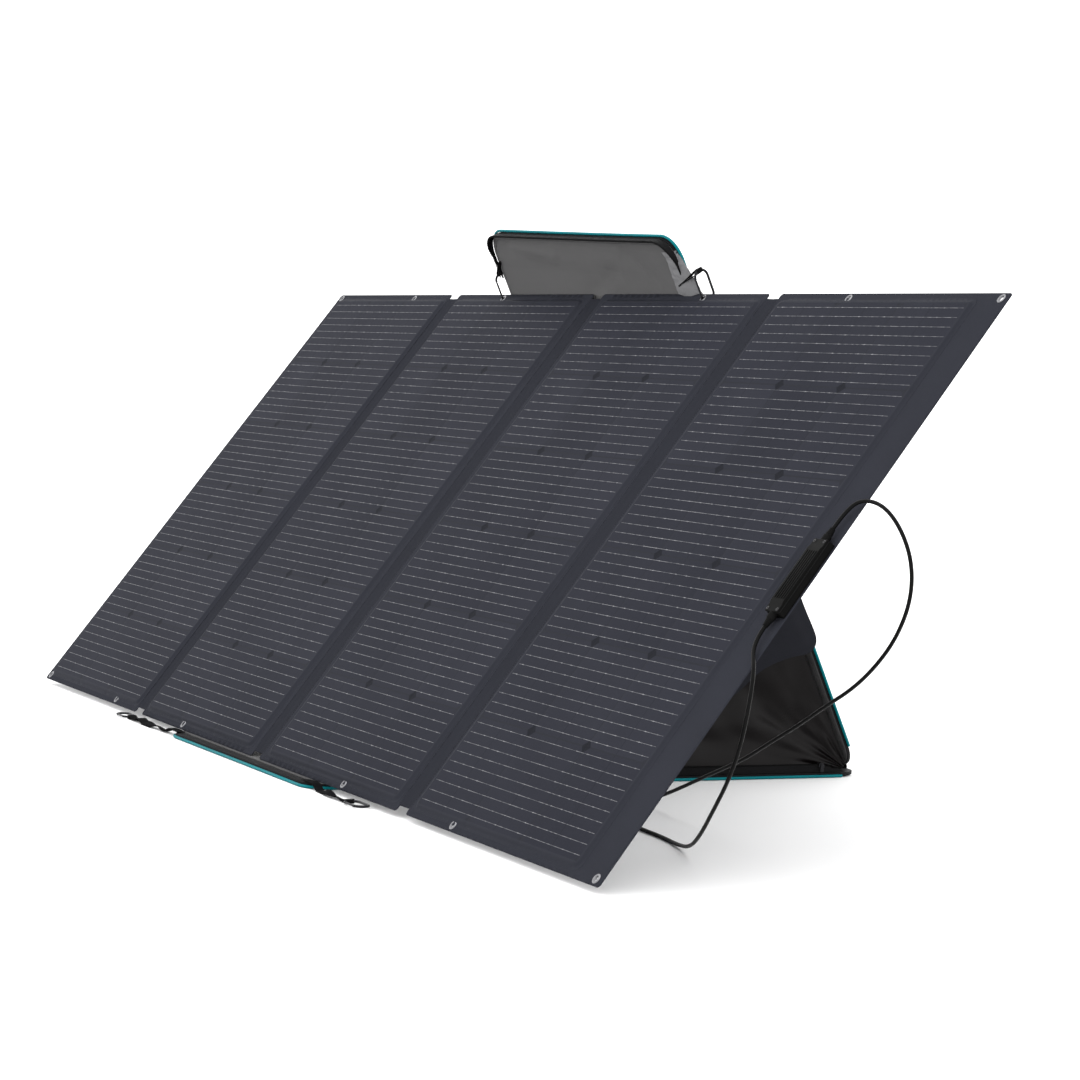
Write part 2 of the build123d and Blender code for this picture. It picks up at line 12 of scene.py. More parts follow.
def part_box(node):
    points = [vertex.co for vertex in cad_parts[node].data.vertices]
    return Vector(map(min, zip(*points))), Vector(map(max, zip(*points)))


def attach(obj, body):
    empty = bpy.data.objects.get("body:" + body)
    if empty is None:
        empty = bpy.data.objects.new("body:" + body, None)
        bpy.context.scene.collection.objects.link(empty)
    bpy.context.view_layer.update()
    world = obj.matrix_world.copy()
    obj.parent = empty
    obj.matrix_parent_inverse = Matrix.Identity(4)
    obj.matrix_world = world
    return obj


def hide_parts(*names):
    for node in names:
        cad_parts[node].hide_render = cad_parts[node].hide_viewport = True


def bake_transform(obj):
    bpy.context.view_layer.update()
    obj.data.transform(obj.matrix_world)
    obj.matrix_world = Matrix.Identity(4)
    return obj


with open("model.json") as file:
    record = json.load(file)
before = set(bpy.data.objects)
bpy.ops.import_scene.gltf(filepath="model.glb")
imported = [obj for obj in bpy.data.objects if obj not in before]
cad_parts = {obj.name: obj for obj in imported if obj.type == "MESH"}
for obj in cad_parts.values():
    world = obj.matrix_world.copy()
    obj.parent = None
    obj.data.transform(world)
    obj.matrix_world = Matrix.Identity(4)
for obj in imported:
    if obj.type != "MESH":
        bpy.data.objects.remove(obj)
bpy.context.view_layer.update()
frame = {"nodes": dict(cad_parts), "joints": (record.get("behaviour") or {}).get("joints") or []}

# The folding solar panel kit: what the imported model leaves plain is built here, in metres, in its frame.
mm = 0.001


def placed(name, data):
    """A new object in the scene."""
    thing = bpy.data.objects.new(name, data)
    bpy.context.scene.collection.objects.link(thing)
    return thing


# ---- camera, at the picture's angle ----
camera_azimuth = math.radians(61.49)      # 0 looks along +Y, 90 along -X
camera_elevation = math.radians(3.295)    # looking down
camera_roll = math.radians(3.14)
camera_data = bpy.data.cameras.new("camera")
camera_data.sensor_width = 36.0
camera_data.lens = 91.86
camera_data.clip_end = 200.0
camera = placed("camera", camera_data)
camera_aim = Vector((
    -math.sin(camera_azimuth) * math.cos(camera_elevation),
    math.cos(camera_azimuth) * math.cos(camera_elevation),
    -math.sin(camera_elevation),
))
camera.location = (4.3846, -1.8598, 0.6912)
camera.rotation_mode = "QUATERNION"
camera.rotation_quaternion = camera_aim.to_track_quat("-Z", "Y") @ Quaternion((0, 0, 1), camera_roll)
bpy.context.scene.camera = camera

# ---- the panel's and the raised case half's own axes ----
joints = {joint["name"]: joint for joint in frame["joints"]}
across = Vector((1, 0, 0))
slope = Vector(joints["fold_4_over_3"]["axis"]).normalized()
foot = Vector(joints["panel_tilt"]["pos_m"])
spine = Vector(joints["case_lean"]["pos_m"])
lean = (math.pi - math.atan2(slope.z, slope.y)) / 2
up_case = Vector((0, -math.cos(lean), math.sin(lean)))


def axes(origin, x, y):
    """A frame from its origin and its X and Y directions."""
    matrix = Matrix((x, y, x.cross(y))).transposed().to_4x4()
    matrix.translation = origin
    return matrix


world_axes = Matrix.Identity(4)
panel_axes = axes(foot, across, slope)                     # Z out of the cells
back_axes = axes(spine, -across, up_case)                  # Z out of the raised half's outer face
base_axes = axes(spine, across, Vector((0, -1, 0)))        # Z down, out of the base's outer face


def local_points(node, matrix):
    """A CAD node's points in a frame."""
    points = np.array([v.co for v in frame["nodes"][node].data.vertices])
    inverse = np.array(matrix.inverted())
    return points @ inverse[:3, :3].T + inverse[:3, 3]


def span(node, matrix):
    """A CAD node's lowest and highest corners along a frame's axes."""
    local = local_points(node, matrix)
    return Vector(local.min(0)), Vector(local.max(0))


# ---- number helpers ----
def in_mm(*values):
    """Millimetres as metres."""
    return [value * mm for value in values]


def smooth(edge_low, edge_high, value):
    """0 below the low edge, 1 above the high one and a soft step between."""
    t = min(1.0, max(0.0, (value - edge_low) / (edge_high - edge_low)))
    return t * t * (3 - 2 * t)


def dip(distance, width):
    """A bell: 1 on a line, falling away from it."""
    return math.exp(-(distance / width) ** 2)


def waver(x, y, z):
    """Smooth noise at a place, about -1 to 1."""
    return noise.noise(Vector((x, y, z)))


def steps(low, high, size):
    """Evenly spaced values from low to high, about size apart."""
    count = max(1, round((high - low) / size))
    return [low + (high - low) * i / count for i in range(count + 1)]


def grid_lines(low, high, insets, start=0.0, size=None):
    """Grid values at some distances from both ends, with even steps between them."""
    ends = [low + s for s in insets] + [high - s for s in insets]
    return ends + (steps(low + start, high - start, size) if size else [])


# ---- mesh helpers ----
def clean_up(thing):
    """Points that coincide become one, and faces with no area go."""
    made = bmesh.new()
    made.from_mesh(thing.data)
    bmesh.ops.remove_doubles(made, verts=made.verts, dist=1e-6)
    bmesh.ops.dissolve_degenerate(made, edges=made.edges, dist=1e-6)
    bmesh.ops.recalc_face_normals(made, faces=made.faces)
    made.to_mesh(thing.data)
    made.free()
    return thing


def add_object(name, points, faces, matrix, material, smooth_angle=50):
    """A mesh object placed by a frame, shaded smooth except over sharp edges."""
    mesh = bpy.data.meshes.new(name)
    mesh.from_pydata([tuple(p) for p in points], [], faces)
    mesh.update()
    mesh.validate()
    thing = placed(name, mesh)
    thing.matrix_world = matrix
    thing.data.materials.append(material)
    mesh.shade_smooth()
    mesh.set_sharp_from_angle(angle=math.radians(smooth_angle))
    return thing


def loft_faces(rows, size):
    """Faces between rings of points, with both ends closed."""
    faces = []
    for i in range(rows - 1):
        for k in range(size):
            a, b = i * size + k, i * size + (k + 1) % size
            faces.append([a, b, b + size, a + size])
    return faces + [list(range(size))[::-1], [(rows - 1) * size + k for k in range(size)]]


def sheet_faces(rows, width):
    """Faces of a closed sheet whose points are its front, row by row, and then its rear."""
    count = rows * width
    faces = []
    for i in range(rows - 1):
        for k in range(width - 1):
            a = i * width + k
            faces.append([a, a + 1, a + 1 + width, a + width])
            faces.append([count + a, count + a + width, count + a + 1 + width, count + a + 1])
    rim = list(range(width)) + [i * width + width - 1 for i in range(1, rows)]
    rim += [count - width + k for k in range(width - 2, -1, -1)] + [i * width for i in range(rows - 2, 0, -1)]
    return faces + [[b, a, a + count, b + count] for a, b in zip(rim, rim[1:] + rim[:1])]


def hold(thing, body, slot, *nodes):
    """The piece rides on a body and stands for CAD nodes, which it hides. slot is not used."""
    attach(thing, body)
    if nodes:
        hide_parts(*nodes)
    return thing


def rounded_outline(low, high, radius, per_corner=6):
    """A rounded rectangle's outline in a local XY plane, anticlockwise."""
    middles = ((high.x - radius, low.y + radius), (high.x - radius, high.y - radius),
               (low.x + radius, high.y - radius), (low.x + radius, low.y + radius))
    points = []
    for quarter, (x, y) in enumerate(middles):
        for i in range(per_corner + 1):
            angle = (quarter - 1 + i / per_corner) * math.pi / 2
            points.append((x + radius * math.cos(angle), y + radius * math.sin(angle)))
    return points


def outside_by(x, y, low, high, radius):
    """How far a point is outside a rounded rectangle: negative inside it."""
    dx = abs(x - (low.x + high.x) / 2) - (high.x - low.x) / 2 + radius
    dy = abs(y - (low.y + high.y) / 2) - (high.y - low.y) / 2 + radius
    return math.hypot(max(dx, 0), max(dy, 0)) + min(max(dx, dy), 0) - radius


def split_long(outline, size):
    """The outline with points added along its long sides."""
    points = []
    for (ax, ay), (bx, by) in zip(outline, outline[1:] + outline[:1]):
        count = max(1, round(math.hypot(bx - ax, by - ay) / size))
        points += [(ax + (bx - ax) * i / count, ay + (by - ay) * i / count) for i in range(count)]
    return points


def slab(name, matrix, outline, inner, front, back, material, holes=(), smooth_angle=50):
    """A closed sheet. Its outline, round holes and inner points lie in the local XY plane,
    and front and back give its two faces' heights there."""
    points = [Vector(p) for p in outline]
    edges = [(i, (i + 1) % len(outline)) for i in range(len(outline))]
    for x, y, radius in holes:
        start = len(points)
        ring = [(x + radius * math.cos(a), y + radius * math.sin(a)) for a in np.arange(24) * math.pi / 12]
        points += [Vector(p) for p in ring]
        edges += [(start + i, start + (i + 1) % 24) for i in range(24)]
    points += [Vector(p) for p in inner]
    flat, _, triangles, *_ = delaunay_2d_cdt(points, edges, [list(range(len(outline)))], 1, 1e-6)
    kept = []
    for triangle in triangles:
        middle = sum((flat[i] for i in triangle), Vector((0, 0))) / 3
        if all((middle - Vector((x, y))).length > radius * 0.98 for x, y, radius in holes):
            kept.append(list(triangle))
    count = len(flat)
    uses = dict.fromkeys(edge for triangle in kept for edge in zip(triangle, triangle[1:] + triangle[:1]))
    rim = [(a, b) for a, b in uses if (b, a) not in uses]
    corners = [(p.x, p.y, front(p.x, p.y)) for p in flat] + [(p.x, p.y, back(p.x, p.y)) for p in flat]
    faces = kept + [[i + count for i in reversed(t)] for t in kept]
    faces += [[b, a, a + count, b + count] for a, b in rim]
    return add_object(name, corners, faces, matrix, material, smooth_angle)


band_ring = ((-0.5, -0.3), (-0.44, -0.5), (0.44, -0.5), (0.5, -0.3),
             (0.5, 0.3), (0.44, 0.5), (-0.44, 0.5), (-0.5, 0.3))


def heading(path, i):
    """A path's direction at one of its points."""
    return (path[min(i + 1, len(path) - 1)] - path[max(i - 1, 0)]).normalized()


def strip(name, path, side, width, thickness, material, ring=band_ring):
    """A flat band along a path. side gives its width direction at each point's share of the way."""
    points = []
    for i, here in enumerate(path):
        along = heading(path, i)
        wide = side(i / (len(path) - 1)) if callable(side) else side
        wide = (wide - along * wide.dot(along)).normalized()
        thick = along.cross(wide)
        points += [here + wide * (a * width) + thick * (b * thickness) for a, b in ring]
    return add_object(name, points, loft_faces(len(path), len(ring)), world_axes, material)


def tube(name, path, radius, material, sides=12):
    """A round cord along a path, whose section doesn't twist."""
    turns = [2 * math.pi * k / sides for k in range(sides)]
    ring = [(0.5 * math.cos(turn), 0.5 * math.sin(turn)) for turn in turns]
    along = (path[1] - path[0]).normalized()
    lift = Vector((0, 0, 1)) if abs(along.z) < 0.9 else Vector((0, 1, 0))
    normals = [along.cross(lift).normalized()]
    for a, b in zip(path[1:], path[2:] + path[-1:]):
        along = (b - a).normalized() if (b - a).length > 0 else along
        normals.append((normals[-1] - along * normals[-1].dot(along)).normalized())
    last = len(path) - 1
    return strip(name, path, lambda t: normals[round(t * last)], 2 * radius, 2 * radius, material, ring)


def curve_points(points, per_span=8):
    """A smooth line through every point."""
    padded = [points[0] * 2 - points[1]] + list(points) + [points[-1] * 2 - points[-2]]
    line = []
    for p0, p1, p2, p3 in zip(padded, padded[1:], padded[2:], padded[3:]):
        for i in range(per_span):
            t = i / per_span
            line.append(0.5 * (2 * p1 + (p2 - p0) * t + (2 * p0 - 5 * p1 + 4 * p2 - p3) * t * t
                               + (3 * p1 - p0 - 3 * p2 + p3) * t ** 3))
    return line + [points[-1]]


def lathe(name, profile, matrix, material, segments=48, ripple=None, smooth_angle=40):
    """A turned solid round the frame's Z. The profile is (radius, height) from one end to the other,
    closed round when it starts away from the axis. ripple changes the radius by (angle, height)."""
    points, faces = [], []
    count = len(profile)
    for k in range(segments):
        angle = 2 * math.pi * k / segments
        for radius, height in profile:
            reach = radius + (ripple(angle, height) if ripple and radius > 0 else 0)
            points.append((reach * math.cos(angle), reach * math.sin(angle), height))
    for k in range(segments):
        for i in range(count):
            a, b = k * count, ((k + 1) % segments) * count
            j = (i + 1) % count
            faces.append([a + i, b + i, b + j, a + j])
    return clean_up(add_object(name, points, faces, matrix, material, smooth_angle))


def joined(name, things):
    """Several meshes as one object, in the first one's frame."""
    with bpy.context.temp_override(active_object=things[0], object=things[0],
                                   selected_objects=things, selected_editable_objects=things):
        bpy.ops.object.join()
    things[0].name = name
    things[0].data.name = name
    return things[0]


def boxes(name, places, matrix, material):
    """Many small tapered blocks in one mesh. Each place is its centre, its half sizes and its turn about Z."""
    points, faces = [], []
    for centre, half, turn in places:
        start = len(points)
        c, s = math.cos(turn), math.sin(turn)
        for z, share in ((-1, 1.0), (1, 0.72)):
            for x, y in ((-1, -1), (1, -1), (1, 1), (-1, 1)):
                px, py = x * half[0] * (1 - (1 - share) * half[1] / half[0]), y * half[1] * share
                points.append((centre[0] + px * c - py * s, centre[1] + px * s + py * c, centre[2] + z * half[2]))
        for face in ((3, 2, 1, 0), (4, 5, 6, 7), (0, 1, 5, 4), (1, 2, 6, 5), (2, 3, 7, 6), (3, 0, 4, 7)):
            faces.append([start + i for i in face])
    return add_object(name, points, faces, matrix, material)


# ---- materials ----
class Paint:
    """A node material being built round one Principled shader."""

    def __init__(self, name, rough, metallic=0.0, **sockets):
        self.material = bpy.data.materials.new(name)
        self.material.use_nodes = True
        self.tree = self.material.node_tree
        self.shader = self.tree.nodes["Principled BSDF"]
        self.shader.inputs["Roughness"].default_value = rough
        self.shader.inputs["Metallic"].default_value = metallic
        for socket, value in sockets.items():
            self.shader.inputs[socket.replace("_", " ")].default_value = value
        self.place = self.node("ShaderNodeTexCoord").outputs["Object"]

    def node(self, kind, inputs=None, **settings):
        made = self.tree.nodes.new(kind)
        for key, value in settings.items():
            setattr(made, key, value)
        for key, value in (inputs or {}).items():
            if isinstance(value, bpy.types.NodeSocket):
                self.tree.links.new(value, made.inputs[key])
            else:
                made.inputs[key].default_value = value
        return made

    def math(self, operation, a, b=0.5, c=0.5):
        return self.node("ShaderNodeMath", {0: a, 1: b, 2: c}, operation=operation).outputs[0]

    def times(self, a, b):
        return self.math("MULTIPLY", a, b)

    def plus(self, a, b):
        return self.math("ADD", a, b)

    def vector(self, operation, a, b=(0, 0, 0)):
        return self.node("ShaderNodeVectorMath", {0: a, 1: b}, operation=operation).outputs[0]

    def noise(self, scale, detail=3.0, rough=0.55, stretch=(1, 1, 1)):
        at = self.node("ShaderNodeMapping", {"Vector": self.place, "Scale": stretch}).outputs[0]
        made = self.node("ShaderNodeTexNoise", {"Vector": at, "Scale": scale, "Detail": detail, "Roughness": rough})
        return made.outputs["Fac"]

    def wave(self, direction, pitch):
        """Bands of one pitch, in metres, along an axis."""
        settings = {"wave_type": "BANDS", "bands_direction": direction, "wave_profile": "SIN"}
        inputs = {"Vector": self.place, "Scale": math.pi / 10 / pitch}
        return self.node("ShaderNodeTexWave", inputs, **settings).outputs["Fac"]

    def mix(self, factor, a, b):
        made = self.node("ShaderNodeMix", data_type="RGBA")
        for index, value in ((0, factor), (6, a), (7, b)):
            if isinstance(value, bpy.types.NodeSocket):
                self.tree.links.new(value, made.inputs[index])
            else:
                made.inputs[index].default_value = value if index == 0 else (*value, 1)
        return made.outputs[2]

    def spread(self, value, low, high, to_low=0.0, to_high=1.0):
        inputs = {"Value": value, "From Min": low, "From Max": high, "To Min": to_low, "To Max": to_high}
        return self.node("ShaderNodeMapRange", inputs).outputs[0]

    def colour(self, value):
        self.tree.links.new(value, self.shader.inputs["Base Color"])

    def roughness(self, value):
        self.tree.links.new(value, self.shader.inputs["Roughness"])

    def bump(self, height, depth, strength=1.0):
        made = self.node("ShaderNodeBump", {"Height": height, "Distance": depth, "Strength": strength})
        self.tree.links.new(made.outputs[0], self.shader.inputs["Normal"])


def scaled(colour, factor):
    return tuple(c * factor for c in colour)


def fabric(name, colour, rough=0.8, pitch=0.9 * mm, gloss=0.015, depth=0.12 * mm, variety=0.25, crease=0.0,
           threads="XY"):
    """Woven cloth: threads crossed along two axes, slightly uneven dye, and worn lighter patches."""
    paint = Paint(name, rough, Specular_IOR_Level=gloss)
    weave = paint.math("MAXIMUM", paint.wave(threads[0], pitch), paint.wave(threads[1], pitch))
    cloud = paint.noise(9, 4)
    grain = paint.noise(700, 2)
    tone = paint.plus(paint.times(cloud, 0.7), paint.times(grain, 0.3))
    paint.colour(paint.mix(paint.spread(tone, 0.3, 0.7), scaled(colour, 1 - variety), scaled(colour, 1 + variety)))
    paint.roughness(paint.spread(cloud, 0.3, 0.7, rough - 0.06, rough + 0.06))
    paint.bump(paint.plus(weave, paint.times(paint.noise(60, 4), crease)), depth)
    return paint.material


def moulded(name, colour, rough, grain=900, depth=0.05 * mm, metallic=0.0, wear=0.2, gloss=0.04):
    """Moulded plastic, rubber or coated metal: a fine grain and faint handling marks."""
    paint = Paint(name, rough, metallic, Specular_IOR_Level=gloss)
    fine = paint.noise(grain, 2)
    marks = paint.noise(40, 5, 0.7)
    paint.colour(paint.mix(paint.spread(marks, 0.35, 0.75), scaled(colour, 1 - wear), scaled(colour, 1 + wear)))
    paint.roughness(paint.spread(marks, 0.3, 0.7, rough - 0.07, rough + 0.09))
    paint.bump(fine, depth)
    return paint.material


skin_colour = (0.0226, 0.0237, 0.0303)
skin_fabric = fabric("skin_fabric", skin_colour, 0.72, 0.7 * mm, variety=0.1)
hinge_fabric = fabric("hinge_fabric", scaled(skin_colour, 0.82), 0.8, 0.8 * mm, variety=0.1)
case_fabric = fabric("case_fabric", (0.0085, 0.0085, 0.0092), 0.55, 1.1 * mm, gloss=0.05, variety=0.25, crease=1.5)
lining_fabric = fabric("lining_fabric", (0.083, 0.082, 0.083), 0.66, 0.6 * mm, gloss=0.05, variety=0.07, crease=1.0)
apron_fabric = fabric("apron_fabric", (0.13, 0.13, 0.135), 0.5, 0.6 * mm, gloss=0.2, variety=0.2, crease=3.0)
gusset_fabric = fabric("gusset_fabric", (0.0028, 0.0020, 0.0021), 0.32, 0.5 * mm, gloss=0.1, variety=0.3,
                       depth=0.03 * mm, threads="YZ")
webbing_fabric = fabric("webbing_fabric", (0.0055, 0.0055, 0.006), 0.7, 1.4 * mm, depth=0.35 * mm)
tape_fabric = fabric("tape_fabric", (0.005, 0.005, 0.0055), 0.6, 1.0 * mm, gloss=0.05, depth=0.25 * mm)
piping_fabric = fabric("piping_fabric", (0.0, 0.14, 0.16), 0.45, 0.8 * mm, gloss=0.08, variety=0.15)
flap_fabric = fabric("flap_fabric", (0.0115, 0.012, 0.0155), 0.6, 0.8 * mm, gloss=0.03, variety=0.15)
pale_thread = moulded("pale_thread", (0.03, 0.03, 0.031), 0.6, 1500)
thread = moulded("thread", (0.010, 0.010, 0.012), 0.6, 1500)
box_plastic = moulded("box_plastic", (0.0024, 0.0024, 0.0023), 0.42, 1300, 0.06 * mm, gloss=0.03)
grip_rubber = moulded("grip_rubber", (0.005, 0.005, 0.005), 0.6, 700, 0.08 * mm)
jacket = moulded("jacket", (0.0028, 0.0028, 0.0028), 0.36, 500, 0.04 * mm, gloss=0.06)
anodised = moulded("anodised", (0.018, 0.018, 0.02), 0.3, 1200, 0.02 * mm, metallic=0.85)
nickel = moulded("nickel", (0.19, 0.19, 0.2), 0.3, 1500, 0.01 * mm, metallic=1.0, wear=0.12)
steel = moulded("steel", (0.05, 0.05, 0.052), 0.35, 900, 0.02 * mm, metallic=1.0)
fibre_board = moulded("fibre_board", (0.06, 0.07, 0.055), 0.6, 300)
solder_mask = moulded("solder_mask", (0.01, 0.06, 0.025), 0.4, 400)
seal = moulded("seal", (0.01, 0.01, 0.01), 0.8, 800)


cell_size, cell_pitch, cell_chamfer = 166 * mm, 169 * mm, 9 * mm
cell_columns, cell_rows = 3, 6


def film_material(pitch, cell, chamfer):
    """Matt film over dark cells, in a frame that starts at the cell block's lower left corner."""
    paint = Paint("film", 0.5, Specular_IOR_Level=0.012)
    shift = (pitch - cell) / 2
    moved = paint.vector("ADD", paint.place, (shift, shift, 0))
    shares = paint.vector("MULTIPLY", moved, (1 / pitch, 1 / pitch, 0))
    centred = paint.vector("SUBTRACT", paint.vector("FRACTION", shares), (0.5, 0.5, 0))
    split = paint.node("ShaderNodeSeparateXYZ", {0: paint.vector("ABSOLUTE", centred)})
    x, y = split.outputs[0], split.outputs[1]
    half = cell / 2 / pitch
    block = paint.node("ShaderNodeSeparateXYZ", {0: paint.place})

    def between(margin):
        """1 inside the cell block less a margin, 0 outside it."""
        inside = []
        for value, count in ((block.outputs[0], cell_columns), (block.outputs[1], cell_rows)):
            middle = (count * pitch - pitch + cell) / 2
            from_centre = paint.math("ABSOLUTE", paint.math("SUBTRACT", value, middle))
            inside.append(paint.math("LESS_THAN", from_centre, middle - margin))
        return paint.times(*inside)

    corner, corner_limit = paint.plus(x, y), 2 * half - chamfer / pitch
    in_square = paint.times(paint.math("LESS_THAN", x, half), paint.math("LESS_THAN", y, half))
    is_cell = paint.times(in_square, paint.math("LESS_THAN", corner, corner_limit))
    mid_line = paint.math("LESS_THAN", x, 0.9 * mm / pitch)
    cell_id = paint.vector("FLOOR", shares)
    random_tone = paint.node("ShaderNodeTexWhiteNoise", {"Vector": cell_id}, noise_dimensions="3D").outputs[0]
    mottle = paint.noise(260, 3, 0.7, (0.6, 1.6, 1))
    cloud = paint.noise(7, 2)
    tone = paint.plus(paint.plus(paint.times(mottle, 0.55), paint.times(cloud, 0.3)), paint.times(random_tone, 0.15))
    cell_colour = paint.mix(paint.spread(tone, 0.3, 0.7), (0.0149, 0.0156, 0.0214), (0.0218, 0.0228, 0.0304))
    cell_colour = paint.mix(paint.times(mid_line, 0.45), cell_colour, (0.0095, 0.010, 0.0135))
    gap_colour = paint.mix(paint.spread(mottle, 0.3, 0.7), (0.0150, 0.0158, 0.0202), (0.0195, 0.0204, 0.0260))
    diamond = paint.times(paint.math("GREATER_THAN", corner, corner_limit), between(15 * mm))
    gap_colour = paint.mix(paint.times(diamond, 0.6), gap_colour, (0.005, 0.0055, 0.008))
    border_colour = paint.mix(paint.spread(cloud, 0.3, 0.7), scaled(skin_colour, 0.92), scaled(skin_colour, 1.0))
    grid_colour = paint.mix(is_cell, gap_colour, cell_colour)
    paint.colour(paint.mix(between(0.0), border_colour, grid_colour))
    paint.roughness(paint.spread(mottle, 0.3, 0.7, 0.44, 0.58))
    paint.bump(paint.plus(paint.times(is_cell, 0.12), paint.noise(420, 2)), 0.08 * mm)
    return paint.material


def ribbon_material():
    """Tinned wire under film: dashed where the film's texture hides it."""
    paint = Paint("ribbon", 0.4, 0.2, Specular_IOR_Level=0.05)
    dashes = paint.noise(1, 2, 0.6, (70, 3, 3))
    paint.colour(paint.mix(paint.spread(dashes, 0.38, 0.62), (0.055, 0.057, 0.065), (0.20, 0.20, 0.21)))
    paint.bump(paint.noise(900, 2), 0.03 * mm)
    return paint.material


# ---- leads: the same routes as the imported model's, in millimetres ----
box_low, box_high = span("junction_box_base", panel_axes)
glands_low, glands_high = span("lead_glands", panel_axes)
box_x = (box_low.x + box_high.x) / 2
gland_out = (glands_low.z + glands_high.z) / 2
upper_exit = panel_axes @ Vector((box_x, glands_high.y, gland_out))
lower_exit = panel_axes @ Vector((box_x, glands_low.y, gland_out))
first_run = 32 * mm
upper_route = [
    (1184, 391, 550), (1224, 400, 545), (1262, 406, 514), (1286, 411, 468), (1278, 418, 414), (1238, 426, 358),
    (1180, 434, 310), (1112, 444, 270), (1038, 451, 236), (964, 456, 198), (890, 459, 163), (816, 462, 126),
    (742, 467, 98), (668, 471, 70), (596, 475, 42), (528, 478, 18), (462, 472, 3), (412, 440, 3), (374, 400, 9),
    (350, 360, 9),
]
lower_route = [
    (1198, 219, 308), (1204, 208, 248), (1172, 218, 190), (1124, 232, 138), (1064, 249, 88), (998, 272, 42),
    (930, 298, 12), (862, 320, 3), (788, 334, 3), (714, 338, 3), (648, 356, 3), (586, 340, 3), (546, 288, 3),
    (542, 224, 3), (500, 174, 3), (438, 168, 3), (400, 214, 9), (384, 256, 9),
]
lead_diameter = 6 * mm


def lead(name, exit_point, direction, route):
    """A lead's NURBS curve: straight out of its gland, then along the route's points."""
    points = [exit_point, exit_point + direction * first_run] + [Vector(p) * mm for p in route]
    data = bpy.data.curves.new(name, "CURVE")
    data.dimensions = "3D"
    data.bevel_depth = lead_diameter / 2
    data.bevel_resolution = 5
    data.resolution_u = 16
    data.use_fill_caps = True
    spline = data.splines.new("NURBS")
    spline.points.add(len(points) - 1)
    for made, point in zip(spline.points, points):
        made.co = (*point, 1)
    spline.order_u = 3
    spline.use_endpoint_u = True
    data.materials.append(jacket)
    return hold(placed(name, data), "panel_section_4", "lead_jacket", name.replace("_cord", ""))


upper_lead = lead("lead_upper_cord", upper_exit, slope, upper_route)
lower_lead = lead("lead_lower_cord", lower_exit, -slope, lower_route)


# ---- connectors at the leads' ends ----
def connector(kind, route):
    """A nut with grip ribs and a shell with latches, in line with the lead's last run."""
    end, before = Vector(route[-1]) * mm, Vector(route[-2]) * mm
    along = (end - before).normalized()
    sideways = along.cross(Vector((0, 0, 1))).normalized()
    matrix = axes(end, sideways, along.cross(sideways))
    length, shell_length, radius, hole = 16 * mm, 42 * mm, 8.6 * mm, lead_diameter / 2
    nut_profile = [
        (hole, -0.5 * mm), (hole + 1.2 * mm, -0.5 * mm), (radius * 0.72, 1.2 * mm), (radius * 0.9, 4 * mm),
        (radius, 5 * mm), (radius, length - 1.2 * mm), (radius * 0.93, length - 0.2 * mm), (hole, length - 0.2 * mm),
    ]
    nut = lathe(f"{kind}_nut_ribbed", nut_profile, matrix, box_plastic, 72,
                lambda a, h: -0.5 * mm * (math.cos(18 * a) > 0.2) * (h > 4.5 * mm) * (h < length - 0.6 * mm))
    hold(nut, "panel_section_4", "connector_plastic", f"{kind}_nut")
    waist = length + shell_length * 0.55
    tip = length + shell_length
    slim = (8.4 - (2.0 if kind == "plug" else 0.3)) * mm
    bore = (3.2 if kind == "plug" else 6.6) * mm
    shell_profile = [
        (0, length), (7.6 * mm, length), (8.3 * mm, length + 1 * mm), (8.3 * mm, waist - 2 * mm),
        (7.4 * mm, waist - 1 * mm), (slim, waist), (slim, tip - 0.8 * mm), (slim - 0.7 * mm, tip),
        (bore, tip), (bore, tip - 15 * mm), (0, tip - 15 * mm),
    ]
    shell = lathe(f"{kind}_shell_moulded", shell_profile, matrix, box_plastic, 64,
                  lambda a, h: -0.35 * mm * (math.cos(8 * a) > 0.55) * (length + 3 * mm < h < waist - 1.5 * mm))
    hold(shell, "panel_section_4", "connector_plastic", f"{kind}_shell")
    return nut, shell


plug_pieces = connector("plug", upper_route)
socket_pieces = connector("socket", lower_route)

# ---- panel sections ----
fold_x = [joints[name]["pos_m"][0] for name in ("fold_1_over_2", "fold_3_over_2", "fold_4_over_3")]
sections = [span(f"section_{k}_skin", panel_axes) for k in (1, 2, 3, 4)]
boards = [span(f"section_{k}_board", panel_axes) for k in (1, 2, 3, 4)]
panel_top = sections[0][1].y
notch_width = 17 * mm
notch_depth = 11 * mm
board_margin = 2 * mm
ribbons_per_cell = 9
film = film_material(cell_pitch, cell_size, cell_chamfer)
ribbon = ribbon_material()
flange = 11 * mm           # of film round the board
board_corner = skin_corner = 6 * mm
film_corner = 15 * mm
eyelet_hole = 5.6 * mm     # radius in the cloth
pads_per_cell = 5


def eyelet_places(section):
    """Each eyelet's middle on a section, from its CAD node."""
    groups = {}
    for p in local_points(f"section_{section}_eyelets", panel_axes):
        groups.setdefault((round(p[0] / 0.05), p[1] > panel_top / 2), []).append(p)
    merged = []
    for key in sorted(groups):
        cluster = np.array(groups[key])
        twin = [m for m in merged if abs(m[0][0] - cluster.mean(0)[0]) < 0.03 and m[1] == key[1]]
        if twin:
            twin[0][2].append(cluster)
        else:
            merged.append((cluster.mean(0), key[1], [cluster]))
    places = []
    for _, _, clusters in merged:
        cloud = np.concatenate(clusters)
        places.append(((cloud[:, 0].min() + cloud[:, 0].max()) / 2, (cloud[:, 1].min() + cloud[:, 1].max()) / 2))
    return places


